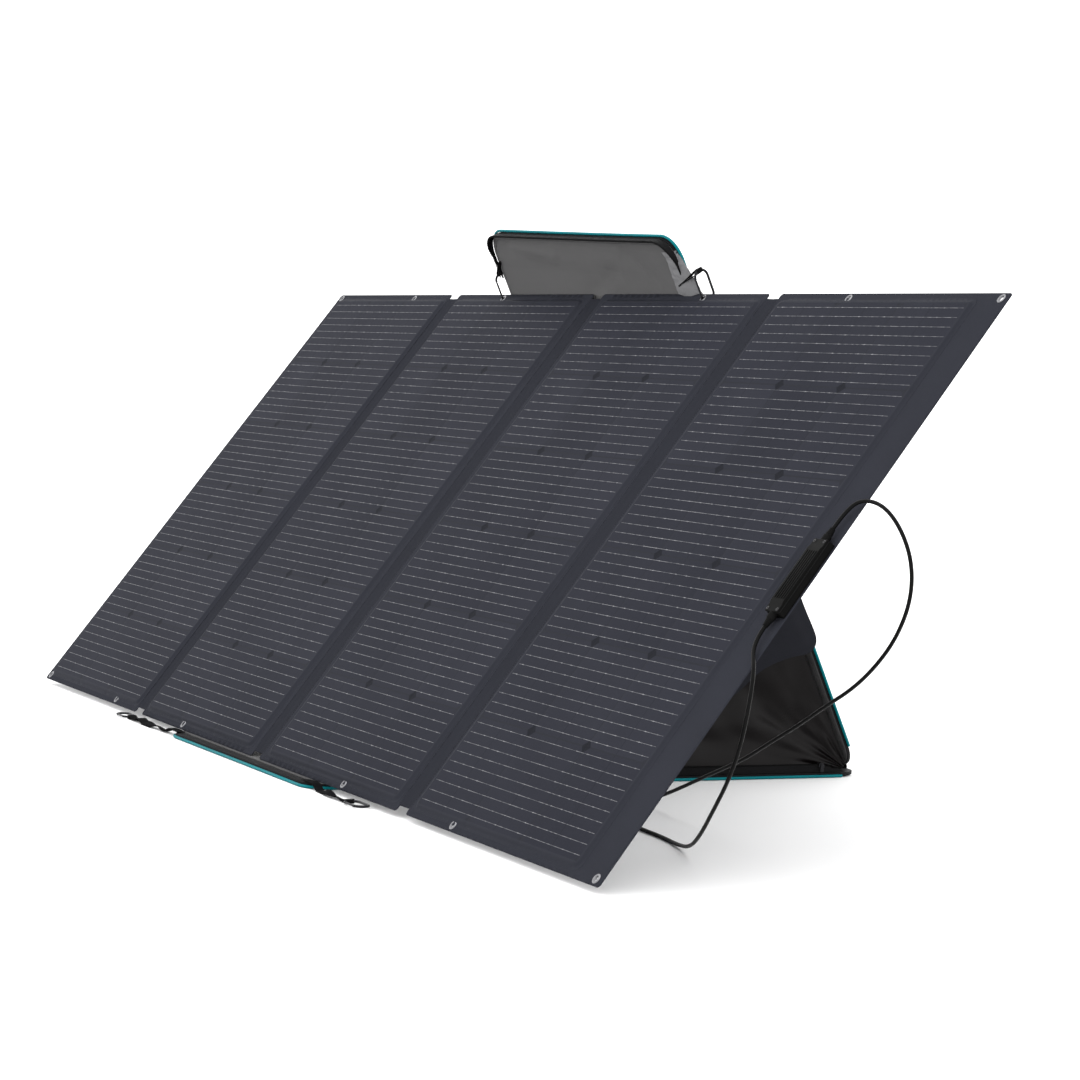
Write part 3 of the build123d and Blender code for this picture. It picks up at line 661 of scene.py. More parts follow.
def skin(section):
    """The woven back and border of a section, cut back beside the hinges and holed for its eyelets."""
    low, high = sections[section - 1]
    board_low, board_high = boards[section - 1]
    left = low.x + (notch_width if section > 1 else 0)
    right = high.x - (notch_width if section < 4 else 0)
    low, high = Vector((left, low.y, low.z)), Vector((right, high.y, high.z))
    seam = 6 * mm
    holes = [(x, y, eyelet_hole) for x, y in eyelet_places(section)]
    seam_steps = [0.9 * mm, seam - 1.4 * mm, seam, seam + 1.4 * mm]
    board_steps = in_mm(-7, -4, -2, 0, 3)
    xs, ys = (sorted(grid_lines(low[i], high[i], seam_steps)
                     + grid_lines(board_low[i], board_high[i], board_steps, 8 * mm, 21 * mm)) for i in (0, 1))
    inner = [(x, y) for x in xs for y in ys if outside_by(x, y, low, high, skin_corner) < -0.6 * mm
             and all(math.hypot(x - hx, y - hy) > radius + 1.5 * mm for hx, hy, radius in holes)]

    def hem(x, y):
        """How far a point is from the edge, its share of the seam's groove and the edge's rounding."""
        edge = -outside_by(x, y, low, high, skin_corner)
        return edge, dip(edge - seam, 1.2 * mm), 0.5 * mm * (1 - smooth(0, 0.9 * mm, edge))

    def front(x, y):
        edge, groove, rounding = hem(x, y)
        ripple = 0.25 * mm * waver(x * 14, y * 14, 3.1)
        return high.z - 0.35 * mm * groove - rounding + ripple * smooth(0, 20 * mm, edge)

    def rear(x, y):
        edge, groove, rounding = hem(x, y)
        on_board = -outside_by(x, y, board_low, board_high, board_corner)
        stitch = dip(on_board + 4 * mm, 1.6 * mm)
        pad = -0.9 * mm * smooth(-2 * mm, 6 * mm, on_board)
        ripple = 0.5 * mm * waver(x * 9, y * 9, 7.7) * smooth(0, 30 * mm, on_board)
        return low.z + 0.35 * mm * (groove + stitch) + rounding + pad + ripple

    outline = split_long(rounded_outline(low, high, skin_corner), 21 * mm)
    thing = slab(f"section_{section}_fabric", panel_axes, outline, inner, front, rear, skin_fabric, holes, 70)
    hold(thing, f"panel_section_{section}", "panel_fabric", f"section_{section}_skin")


def laminate(section):
    """The film over the cells, drawn down round the board to a welded flange."""
    board_low, board_high = boards[section - 1]
    film_level = span(f"section_{section}_film", panel_axes)[1].z
    skin_level = sections[section - 1][1].z
    corner = Vector((board_low.x + board_margin, board_low.y + board_margin, 0))
    matrix = panel_axes @ Matrix.Translation(corner)
    low = Vector((-board_margin - flange, -board_margin - flange, 0))
    high = Vector((board_high.x - corner.x + flange, board_high.y - corner.y + flange, 0))
    inner_low = Vector((-board_margin, -board_margin, 0))
    inner_high = Vector((board_high.x - corner.x, board_high.y - corner.y, 0))
    gap = cell_pitch - cell_size

    def lines(i, count):
        """Grid values along one axis, close together over the rim and the gaps between cells."""
        rim = in_mm(1.5, 3.2, 4.8, 6.4, 8, 9.6, 11, 13, 18)
        middles = [k * cell_pitch - gap / 2 for k in range(1, count)]
        values = grid_lines(low[i], high[i], rim, 24 * mm, 14 * mm)
        return sorted(values + [middle + s for middle in middles for s in in_mm(-2.2, -0.7, 0.7, 2.2)])

    inner = [(x, y) for x in lines(0, cell_columns) for y in lines(1, cell_rows)
             if outside_by(x, y, low, high, film_corner) < -0.7 * mm]

    def front(x, y):
        beyond = outside_by(x, y, inner_low, inner_high, board_corner)
        drop = smooth(0.5 * mm, 7.5 * mm, beyond)
        level = film_level + (skin_level + 0.25 * mm - film_level) * drop
        seams = 0.0
        for count, value in ((cell_columns, x), (cell_rows, y)):
            k = round((value + gap / 2) / cell_pitch)
            if 0 < k < count:
                seams += dip(value - k * cell_pitch + gap / 2, 1.1 * mm)
        ripple = 0.22 * mm * waver(x * 11, y * 11, section * 5.3)
        return level - 0.12 * mm * min(seams, 1) + ripple * (1 - drop)

    outline = split_long(rounded_outline(low, high, film_corner), 14 * mm)
    thing = slab(f"section_{section}_front", matrix, outline, inner, front, lambda x, y: front(x, y) - 0.45 * mm,
                 film, (), 60)
    hold(thing, f"panel_section_{section}", "front_film", f"section_{section}_film")
    return matrix, front


def ribbons(section, matrix, front):
    """Thin flat wires across the cells, with solder pads along them."""
    draw = random.Random(40 + section)
    width = cell_columns * cell_pitch - (cell_pitch - cell_size)
    xs = steps(2.5 * mm, width - 2.5 * mm, 14 * mm)
    wire_faces = [face[::-1] for face in loft_faces(len(xs), 4)]
    points, faces, pads = [], [], []
    for row in range(cell_rows):
        for k in range(ribbons_per_cell):
            y = row * cell_pitch + (k + 0.5) * cell_size / ribbons_per_cell
            for column in range(cell_columns):
                for pad in range(pads_per_cell):
                    x = column * cell_pitch + (pad + 0.5) * cell_size / pads_per_cell + draw.uniform(-3, 3) * mm
                    pads.append(((x, y, front(x, y) + 0.12 * mm), in_mm(1.7, 0.75, 0.1), 0.0))
            faces += [[len(points) + i for i in face] for face in wire_faces]
            for x in xs:
                level = front(x, y)
                for dy, dz in ((-0.45, -0.2), (-0.3, 0.13), (0.3, 0.13), (0.45, -0.2)):
                    points.append((x, y + dy * mm, level + dz * mm))
    wire_object = add_object(f"section_{section}_ribbons", points, faces, matrix, ribbon)
    pad_object = boxes(f"section_{section}_pads", pads, matrix, ribbon)
    thing = joined(f"section_{section}_ribbons", [wire_object, pad_object])
    hold(thing, f"panel_section_{section}", "solar_cell")


def eyelets(section):
    """Rolled metal eyelets with a washer at the back."""
    low, high = span(f"section_{section}_eyelets", panel_axes)
    washer = ((4.5, 0.4), (4.9, 0), (7.6, 0), (8.0, 0.5), (7.7, 0.95), (5.5, 1.0))
    rolled = ((5.5, -1.0), (7.7, -0.95), (8.0, -0.6), (7.2, -0.1), (6.2, 0.25), (5.2, 0.1), (4.5, -0.7))
    profile = [(radius * mm, level + rise * mm) for level, part in ((low.z, washer), (high.z, rolled))
               for radius, rise in part]
    made = [lathe("eyelet", profile, panel_axes @ Matrix.Translation((x, y, 0)), nickel, 40)
            for x, y in eyelet_places(section)]
    thing = joined(f"section_{section}_eyelet_rings", made)
    hold(thing, f"panel_section_{section}", "eyelet_metal", f"section_{section}_eyelets")


def hinge_cloth(index):
    """The cloth between two sections."""
    x = fold_x[index - 1]
    skin_low, skin_high = sections[index - 1]
    low = Vector((x - notch_width - 3 * mm, notch_depth, skin_low.z + 0.45 * mm))
    high = Vector((x + notch_width + 3 * mm, panel_top - notch_depth, skin_high.z - 0.45 * mm))
    xs = steps(low.x, high.x, 1.6 * mm)
    ys = steps(low.y, high.y, 24 * mm)
    inner = [(a, b) for a in xs[1:-1] for b in ys[1:-1]]
    outline = [(a, ys[0]) for a in xs] + [(xs[-1], b) for b in ys[1:]]
    outline += [(a, ys[-1]) for a in xs[-2::-1]] + [(xs[0], b) for b in ys[-2:0:-1]]

    def sag(a, b):
        return -0.5 * mm * dip(a - x, 7 * mm) + 0.12 * mm * waver(a * 20, b * 20, index)

    thing = slab(f"hinge_cloth_{index}", panel_axes, outline, inner, lambda a, b: high.z + sag(a, b),
                 lambda a, b: low.z + sag(a, b), hinge_fabric, (), 60)
    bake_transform(thing)
    for section, edge, inward in ((index, x - notch_width, -1), (index + 1, x + notch_width, 1)):
        places = []
        for level in (skin_high.z + 0.02 * mm, skin_low.z - 0.02 * mm):
            for y in steps(notch_depth + 4 * mm, panel_top - notch_depth - 4 * mm, 4.5 * mm):
                places.append(((edge + inward * 3.2 * mm, y, level), in_mm(1.5, 0.35, 0.16), math.pi / 2))
        sewn = boxes(f"hinge_{index}_stitches_{section}", places, panel_axes, thread)
        hold(sewn, f"panel_section_{section}", "panel_fabric")


for section in (1, 2, 3, 4):
    skin(section)
    ribbons(section, *laminate(section))
    eyelets(section)
for index in (1, 2, 3):
    hinge_cloth(index)


# ---- junction box ----
def mirrored(half):
    """A closed outline from the points of its right-hand side, the lowest one first."""
    left = [(-x, y) for x, y in half]
    return left[:1] + half + left[:0:-1]


def prism(name, sides, low, high, matrix, material, bevel_width):
    """A block whose outline in the local YZ plane is given, from low to high along X, with softened edges."""
    points = [(x, y, z) for x in (low, high) for y, z in sides]
    count = len(sides)
    faces = [list(range(count))[::-1], list(range(count, 2 * count))]
    faces += [[i, (i + 1) % count, (i + 1) % count + count, i + count] for i in range(count)]
    thing = clean_up(add_object(name, points, faces, matrix, material))
    bevel = thing.modifiers.new("bevel", "BEVEL")
    bevel.width = bevel_width
    bevel.segments = 3
    bevel.limit_method = "ANGLE"
    bevel.angle_limit = math.radians(40)
    mesh = bpy.data.meshes.new_from_object(thing.evaluated_get(bpy.context.evaluated_depsgraph_get()))
    thing.modifiers.clear()
    thing.data = mesh
    return thing


def junction_box():
    """The box's tray, its ribbed cover, four screw heads and the two leads' glands."""
    lid_low, lid_high = span("junction_box_lid", panel_axes)
    matrix = panel_axes @ Matrix.Translation((box_x, (box_low.y + box_high.y) / 2, 0))
    half_x, half_y = (box_high.x - box_low.x) / 2, (box_high.y - box_low.y) / 2
    base = prism("junction_box_tray", mirrored([
        (half_y, box_low.z), (half_y, box_high.z - 3 * mm), (half_y - 1.5 * mm, box_high.z),
    ]), -half_x, half_x, matrix, box_plastic, 1.3 * mm)
    hold(base, "panel_section_4", "box_plastic", "junction_box_base")
    shoulder = lid_low.z + 3.4 * mm
    end = half_y - 13 * mm             # of the raised middle
    lip = 0.4 * mm
    cover = prism("junction_box_cover", mirrored([
        (half_y - lip, lid_low.z), (half_y - lip, shoulder), (end, shoulder + 0.4 * mm),
        (end - 5 * mm, lid_high.z - 0.8 * mm),
    ]), -half_x + lip, half_x - lip, matrix, box_plastic, 1.1 * mm)
    rib_outline = mirrored([(end - 8 * mm, lid_high.z - 1.2 * mm), (end - 10 * mm, lid_high.z)])
    ribs = [prism("rib", rib_outline, (k * 5.4 - 1.3) * mm, (k * 5.4 + 1.3) * mm, matrix, box_plastic, 0.45 * mm)
            for k in range(-2, 3)]
    cover = joined("junction_box_cover", [cover] + ribs)
    hold(cover, "panel_section_4", "box_plastic", "junction_box_lid")
    top = shoulder + 0.9 * mm
    head = [(0, shoulder - 2 * mm), (2.6 * mm, shoulder - 2 * mm), (2.6 * mm, top - 0.4 * mm), (2.1 * mm, top),
            (1.25 * mm, top), (1.1 * mm, top - 0.9 * mm), (0, top - 0.9 * mm)]
    heads = [lathe("screw", head, matrix @ Matrix.Translation((x, y, 0)), steel, 24,
                   lambda a, h: 0.16 * mm * math.cos(6 * a) * (h > top - 0.95 * mm))
             for x in (-half_x + 5 * mm, half_x - 5 * mm) for y in (-half_y + 5 * mm, half_y - 5 * mm)]
    hold(joined("junction_box_screw_heads", heads), "panel_section_4", "screw_steel", "junction_box_screws")
    length = glands_high.y - box_high.y
    bore = lead_diameter / 2 + 0.05 * mm
    profile = [(bore, -1 * mm), (6.5 * mm, -1 * mm), (6.5 * mm, 8.4 * mm), (6.0 * mm, 9 * mm)]
    for k in range(5):
        at = 9.4 * mm + k * 2.5 * mm
        radius = (5.5 - 0.3 * k) * mm
        profile += [(radius, at), (radius, at + 1.3 * mm), (radius - 0.7 * mm, at + 1.6 * mm),
                    (radius - 0.7 * mm, at + 2.2 * mm)]
    profile += [(4.2 * mm, length - 0.2 * mm), (bore, length)]
    pieces = []
    for start, direction in ((box_high.y, 1), (box_low.y, -1)):
        matrix = axes(panel_axes @ Vector((box_x, start, gland_out)), across, slope.cross(across) * direction)
        pieces.append(lathe("gland", profile, matrix, grip_rubber, 48, lambda a, h:
                            -0.55 * mm * (math.cos(12 * a) > 0.35) * (0.8 * mm < h < 8.6 * mm)))
    hold(joined("lead_gland_pair", pieces), "panel_section_4", "connector_plastic", "lead_glands")


junction_box()

# ---- case halves ----
case_corner = 45 * mm
back_low, back_high = span("case_back_shell", back_axes)

# soft creases across a lining: start and end in its own frame, width and height in millimetres
creases = (
    ((0.30, 1.035, 0.15, 1.018), 9, 5.0), ((-0.06, 0.992, 0.07, 0.940), 12, -6.0),
    ((-0.10, 1.03, -0.19, 0.96), 10, -4.0),
    ((0.12, 0.70, -0.08, 0.52), 16, 2.4), ((0.25, 0.42, 0.02, 0.35), 14, -2.2), ((-0.15, 0.33, -0.05, 0.14), 15, 2.2),
    ((0.30, 0.86, 0.18, 0.74), 13, 2.0), ((-0.20, 0.75, -0.12, 0.60), 11, -1.8),
)


def off_line(x, y, ax, ay, bx, by):
    """A point's distance from a line segment."""
    run = Vector((bx - ax, by - ay))
    share = min(1.0, max(0.0, (Vector((x - ax, y - ay)).dot(run)) / run.length_squared))
    return (Vector((x - ax, y - ay)) - run * share).length


def settled(thing):
    """The raised half's cloth leans down towards its right-hand top corner, as a soft case does."""
    local = back_axes.inverted() @ thing.matrix_world
    outward = local.inverted()
    for vertex in thing.data.vertices:
        p = local @ vertex.co
        share = smooth(0.25, 1.0, p.y / back_high.y)
        p.y += share * (-11 * mm + 27 * mm * (p.x - back_low.x) / (back_high.x - back_low.x))
        p.x -= share * 24 * mm * smooth(0.0, 0.26, -p.x)
        vertex.co = outward @ p
    return thing


def case_half(half, matrix, body, bulge):
    """One half of the zip case in its own frame: padded outer shell, lining and stitches."""
    low, high = span(f"case_{half}_shell", matrix)
    rim = in_mm(1.5, 4, 8, 13, 20)
    xs, ys = (sorted(grid_lines(low[i], high[i], rim, 32 * mm, 16 * mm)) for i in (0, 1))
    inner = [(x, y) for x in xs for y in ys if outside_by(x, y, low, high, case_corner) < -1 * mm]
    outline = split_long(rounded_outline(low, high, case_corner, 10), 16 * mm)

    def outer(x, y):
        edge = -outside_by(x, y, low, high, case_corner)
        rounding = math.sqrt(max(0.0, 1 - (1 - smooth(0, 12 * mm, edge)) ** 2))
        seam = dip(edge - 17 * mm, 1.8 * mm)
        puff = smooth(14 * mm, 90 * mm, edge)
        ripple = waver(x * 7, y * 5, 1.3) + 0.5 * waver(x * 19, y * 15, 4.3)
        lift = bulge * (3.2 * mm * puff + 1.6 * mm * ripple * puff - 0.8 * mm * seam)
        return (low.z + 3 * mm) + (high.z - low.z - 3 * mm) * (0.55 + 0.45 * rounding) + lift

    shell = slab(f"case_{half}_outer", matrix, outline, inner, outer, lambda x, y: low.z + 1.2 * mm, case_fabric)
    hold(shell, body, "case_fabric", f"case_{half}_shell", f"case_{half}_board")

    def lining_face(x, y):
        """The lining's visible level, which stays in front of the shell's inner face."""
        edge = -outside_by(x, y, low, high, case_corner)
        clear = 1.0 if half == "back" else smooth(0, 70 * mm, high.y - y)
        folds = waver(x * 4.2, y * 7, 9.1) + 0.15 * waver(x * 13 + y * 6, y * 17, 2.2)
        crease = sum(depth * mm * dip(off_line(x, y, *line), width * mm) for line, width, depth in creases)
        crinkle = dip(min(x - low.x, high.x - x), 60 * mm) * (waver(x * 25, y * 42, 8.8) * 1.4 * mm)
        height = 2.2 * mm + 1.5 * mm * folds + crease + crinkle
        height *= smooth(border, border + 28 * mm, edge) * clear
        if half == "back" and 0.90 < y < 1.0:
            height = min(height, 0.6 * mm)          # the panel's top edge slides here
        return low.z - 0.2 * mm - max(height, -0.7 * mm)

    border, near_rim = (2 * mm, in_mm(5, 12)) if half == "back" else (18 * mm, [])
    xs, ys = (sorted(grid_lines(low[i], high[i], near_rim, 22 * mm, 11 * mm)) for i in (0, 1))
    inset_low = low + Vector((border, border, 0))
    inset_high = high - Vector((border, border, 0))
    inner = [(x, y) for x in xs for y in ys if outside_by(x, y, inset_low, inset_high, case_corner) < -3 * mm]
    outline = split_long(rounded_outline(inset_low, inset_high, case_corner, 10), 11 * mm)
    lining = slab(f"case_{half}_inner_cloth", matrix, outline, inner, lambda x, y: low.z + 1.6 * mm, lining_face,
                  lining_fabric)
    outer_rows = [(row_inset, 4.4 * mm, outer, 1) for row_inset in in_mm(11, 22)] if half == "back" else []
    places = []
    for row_inset, pitch, level, sign in [*outer_rows, (border + 9 * mm, 5 * mm, lining_face, -1)]:
        gap = Vector((row_inset, row_inset, 0))
        row = split_long(rounded_outline(low + gap, high - gap, case_corner - row_inset * 0.6, 12), pitch)
        for (ax, ay), (bx, by) in zip(row, row[1:] + row[:1]):
            x, y = (ax + bx) / 2, (ay + by) / 2
            turn = math.atan2(by - ay, bx - ax)
            places.append(((x, y, level(x, y) + sign * 0.12 * mm), in_mm(1.6, 0.4, 0.2), turn))
    sewn = boxes(f"case_{half}_stitches", places, matrix, pale_thread)
    if half == "back":
        for thing in (shell, lining, sewn):
            settled(thing)
    hold(sewn, body, "case_fabric")
    hold(lining, body, "case_lining", f"case_{half}_lining")


def corner_path(low, high, radius, level, open_end):
    """A U-shaped line up one side, round the far end and back down, in a local frame."""
    def arc(middle, start):
        turns = [start - k / 12 * math.pi / 2 for k in range(1, 13)]
        return [Vector((middle + radius * math.cos(turn), high.y - radius + radius * math.sin(turn), level))
                for turn in turns]

    path = [Vector((low.x, y, level)) for y in steps(open_end, high.y - radius, 40 * mm)]
    path += arc(low.x + radius, math.pi)
    path += [Vector((x, high.y, level)) for x in steps(low.x + radius, high.x - radius, 40 * mm)[1:]]
    path += arc(high.x - radius, math.pi / 2)
    return path + [Vector((high.x, y, level)) for y in steps(high.y - radius, open_end, 40 * mm)[1:]]


def piping(half, matrix, body):
    """The teal piping round a half's three open sides."""
    low, high = span(f"case_{half}_piping", matrix)
    radius = (high.z - low.z) / 2
    inset_low, inset_high = low + Vector((radius, radius, 0)), high - Vector((radius, radius, 0))
    path = corner_path(inset_low, inset_high, case_corner, (low.z + high.z) / 2, low.y)
    bumps = [0.35 * mm * noise.noise(p * 30) for p in path]
    path = [matrix @ (p + Vector((0, 0, b))) for p, b in zip(path, bumps)]
    thing = tube(f"case_{half}_piping_cord", path, radius, piping_fabric, 12)
    if half == "back":
        settled(thing)
    hold(thing, body, "piping", f"case_{half}_piping")


def zip_wall(name, matrix, body, path, heights, replaced):
    """A zip tape standing on a case edge, with a row of teeth along its top."""
    points = []
    levels = (0.0, 0.25, 0.5, 0.75, 1.0)
    for i, (here, height) in enumerate(zip(path, heights)):
        along = heading(path, i)
        outward = Vector((along.y, -along.x, 0))
        for face, order in ((1, levels), (-1, levels[::-1])):
            for level in order:
                sway = 0.8 * mm * math.sin(level * math.pi) * noise.noise(here * 11)
                points.append(here + outward * (face * 1.0 * mm + sway) - Vector((0, 0, height * level)))
    tape = clean_up(add_object(name, points, loft_faces(len(path), 2 * len(levels)), matrix, tape_fabric))
    places = []
    at = 0.0
    for here, beyond, height in zip(path, path[1:], heights):
        run = beyond - here
        if height < 6 * mm:
            continue
        while at < run.length:
            centre = here + run * (at / run.length) - Vector((0, 0, height - 1.0 * mm))
            places.append((centre, in_mm(0.75, 1.9, 1.3), math.atan2(run.y, run.x)))
            at += 2.6 * mm
        at -= run.length
    tape = joined(name, [tape, boxes(name + "_teeth", places, matrix, grip_rubber)])
    if body == "case_back":
        settled(tape)
    hold(tape, body, "zip_tape", *replaced)


case_half("back", back_axes, "case_back", 1.0)
case_half("base", base_axes, "case_base", 0.0)
piping("back", back_axes, "case_back")
piping("base", base_axes, "case_base")

band_reach = -span("case_back_zip_tape", back_axes)[0].z
inset = 1.0 * mm
band_path = corner_path(back_low + Vector((inset, 0, 0)), back_high - Vector((inset, inset, 0)), case_corner, 0.0,
                        0.965)
band_heights = [0.62 * band_reach * (0.2 + 0.8 * smooth(back_high.y - 75 * mm, back_high.y - 8 * mm, p.y))
                for p in band_path]
zip_wall("case_back_zip_band", back_axes, "case_back", band_path, band_heights, ["case_back_zip_tape"])

tape_low, tape_high = span("case_base_zip_tape", base_axes)
wall_reach = -tape_low.z
for side, x in (("left", tape_low.x + inset), ("right", tape_high.x - inset)):
    wall = [Vector((x, y, 0)) for y in steps(tape_low.y, tape_high.y, 20 * mm)]
    if side == "right":
        wall.reverse()
    rise = [wall_reach * (0.35 + 0.65 * smooth(0, 60 * mm, min(p.y - tape_low.y, tape_high.y - p.y))) for p in wall]
    zip_wall(f"case_base_zip_wall_{side}", base_axes, "case_base", wall, rise,
             ["case_base_zip_tape"] if side == "left" else [])


# ---- fabric spine between the halves ----
def spine_cloth():
    """The cloth that wraps the hinge between the halves."""
    low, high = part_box("case_spine")
    turn_centre = Vector((0, spine.y, spine.z))
    reach = 17 * mm
    path = []
    for k in range(13):
        angle = -math.pi / 2 + (math.pi / 2 + lean * 0.55) * k / 12
        drop = spine.z - 0.6 * mm if angle < 0 else reach
        path.append(turn_centre + Vector((0, math.cos(angle) * reach, math.sin(angle) * drop)))
    points = []
    xs = steps(low.x, high.x, 12 * mm)
    for x in xs:
        for thickness, line in ((0, path), (1.3 * mm, path[::-1])):
            for p in line:
                out = (p - turn_centre).normalized()
                points.append(Vector((x, p.y, p.z)) + out * (0.7 * mm * waver(x * 12, p.z * 20, 2) - thickness))
    thing = add_object("case_spine_cloth", points, loft_faces(len(xs), 2 * len(path)), world_axes, case_fabric)
    hold(clean_up(thing), "case_base", "case_fabric", "case_spine")


spine_cloth()


# ---- side gussets ----
def gusset(side):
    """A loose fabric gusset between the two halves, with folds that run out from the spine."""
    low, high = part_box(f"case_gusset_{side}")
    x = (low.x + high.x) / 2
    inward = 1 if side == "left" else -1
    apex = Vector((x, spine.y - 6 * mm, spine.z + 2 * mm))
    base_reach = spine.y - low.y
    back_reach = (high.z - spine.z) / math.sin(lean)
    draw = 3.7 if side == "left" else 8.4
    rows = steps(0.02, 1.0, 0.014)
    columns = steps(0.0, 1.0, 0.02)
    front, rear = [], []
    for r in rows:
        for t in columns:
            reach = base_reach + (back_reach - base_reach) * t
            edge_sag = 1 - 0.22 * math.sin(math.pi * t) ** 1.2 * r
            angle = math.radians(0.6) + (lean - math.radians(1.6)) * t
            place = apex + Vector((0, -math.cos(angle), math.sin(angle))) * (reach * r * edge_sag)
            held = min(1.0, min(t, 1 - t) * 7)
            belly = 42 * mm * math.sin(math.pi * t) * r
            pleats = 9 * mm * math.sin(t * 15 + 2.2 * waver(r * 2, t * 3, draw)) * r
            crumple = 16 * mm * waver(r * 3.2, t * 4.5, draw + 1) * r
            fine = 5 * mm * waver(r * 9, t * 9, draw + 2)
            offset = held * (belly + pleats + crumple + fine)
            place.x += inward * max(-2 * mm, offset)
            front.append(place)
            rear.append(place - Vector((inward * 0.8 * mm, 0, 0)))
    thing = clean_up(add_object(f"case_side_gusset_{side}", front + rear, sheet_faces(len(rows), len(columns)),
                                world_axes, gusset_fabric))
    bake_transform(thing)
    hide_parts(f"case_gusset_{side}")


for side in ("left", "right"):
    gusset(side)


# ---- the raised half's loose side cloth, and the flap behind the panel ----
def side_apron():
    """Crinkled lining cloth that wraps round the raised half's right-hand edge above its strap."""
    bottom, top = 0.957, 1.036
    front, rear = [], []
    rows, columns = steps(0, 1, 0.03), steps(0, 1, 0.04)
    for t in rows:
        reach = (2 + 34 * (1 - smooth(0.05, 1.0, t))) * mm
        level = bottom + (top - bottom) * t
        over = max(0.0, level - back_high.y + case_corner)
        edge = back_low.x + case_corner - math.sqrt(case_corner ** 2 - over ** 2)
        for k in columns:
            angle = k * math.pi
            crinkle = 3.2 * mm * waver(t * 9, k * 5, 2.0) + 2.0 * mm * waver(t * 24, k * 9, 7.0)
            out = reach + crinkle * math.sin(angle)
            over_front = math.cos(angle) > 0
            x = edge + (30 if over_front else 3) * mm * abs(math.cos(angle)) ** 1.5 - out * math.sin(angle) ** 0.7
            depth = 8 * mm + 5 * mm * math.sin(angle) + 0.5 * crinkle if over_front else 5 * mm
            z = 3 * mm - depth * math.cos(angle)
            place = Vector((x, level - 0.3 * out * math.sin(angle), z))
            front.append(place)
            middle = Vector((edge + 34 * mm, place.y, 2 * mm))
            rear.append(place + (middle - place).normalized() * 1.0 * mm)
    thing = clean_up(add_object("case_side_apron", front + rear, sheet_faces(len(rows), len(columns)), back_axes,
                                apron_fabric))
    settled(thing)
    hold(thing, "case_back", "case_lining")


def inner_flap():
    """A smooth cloth flap sewn to the raised half's right-hand edge, hanging behind the panel."""
    edge_x = back_axes.translation.x - back_low.x + 8 * mm
    matrix = axes(Vector((edge_x, 0, 0)), Vector((0, 1, 0)), Vector((0, 0, 1)))
    curve = curve_points([Vector(p) * mm for p in (
        (620, 96, 0), (700, 112, 0), (780, 150, 0), (838, 196, 0), (890, 218, 0), (936, 228, 0), (951, 240, 0),
        (953, 256, 0), (944, 276, 0), (929, 302, 0), (910, 338, 0), (864, 430, 0), (760, 436, 0), (640, 300, 0),
    )], 5)
    outline = [(p.x, p.y) for p in curve]

    def inside(x, y):
        crossings = 0
        for (ax, ay), (bx, by) in zip(outline, outline[1:] + outline[:1]):
            if (ay > y) != (by > y) and x < ax + (bx - ax) * (y - ay) / (by - ay):
                crossings += 1
        return crossings % 2 == 1

    def from_edge(x, y):
        return min(math.hypot(x - ax, y - ay) for ax, ay in outline)

    def face(x, y):
        edge = from_edge(x, y)
        return 6 * mm * smooth(0, 40 * mm, edge) + 3 * mm * waver(x * 9, y * 9, 3.0) * smooth(0, 60 * mm, edge)

    inner = [(x, y) for x in steps(0.6, 0.97, 0.012) for y in steps(0.09, 0.44, 0.012)
             if inside(x, y) and from_edge(x, y) > 5 * mm]
    thing = slab("case_inner_flap", matrix, outline, inner, lambda x, y: face(x, y) + 0.5 * mm,
                 lambda x, y: face(x, y) - 0.5 * mm, flap_fabric)
    hold(thing, "case_back", "case_lining")


side_apron()
inner_flap()


# ---- straps, handle and zip sliders ----
def upper_strap(side):
    """A webbing loop from the raised half's side edge round its carabiner."""
    node = f"strap_upper_{side}"
    low, high = span(node, back_axes)
    ring_low, ring_high = span(f"carabiner_upper_{side}_body", back_axes)
    ring_x = (ring_low.x + ring_high.x) / 2
    bar = Vector((ring_x, ring_high.y - 2.25 * mm, (low.z + high.z) / 2))
    case_edge = back_low.x if side == "right" else back_high.x
    inward = 1 if side == "right" else -1
    root_inset, root_rise = (-6 * mm, -26 * mm) if side == "right" else (14 * mm, 26 * mm)
    root = Vector((case_edge + inward * root_inset, bar.y + root_rise, -2 * mm))
    run = bar - root
    along = Vector((run.x, run.y, 0)).normalized()
    normal = Vector((-along.y, along.x, 0))
    loop = 3.6 * mm
    shares = (0, 0.25, 0.5, 0.75, 0.9)

    def leg(sign, order):
        """One of the webbing's two layers between the case edge and the ring's bar."""
        return [root.lerp(bar, t) + normal * (sign * (0.9 + (loop / mm - 0.9) * smooth(0.3, 1, t))) * mm
                for t in order]

    turns = [k / 8 * math.pi for k in range(9)]
    bend = [bar + normal * loop * math.cos(turn) + along * loop * math.sin(turn) for turn in turns]
    path = [back_axes @ p for p in curve_points(leg(1, shares) + bend + leg(-1, shares[::-1]), 3)]
    thing = strip(f"webbing_loop_{side}", path, back_axes.to_3x3() @ Vector((0, 0, 1)), 11 * mm, 1.5 * mm,
                  webbing_fabric)
    hold(thing, "case_back", "webbing", node)


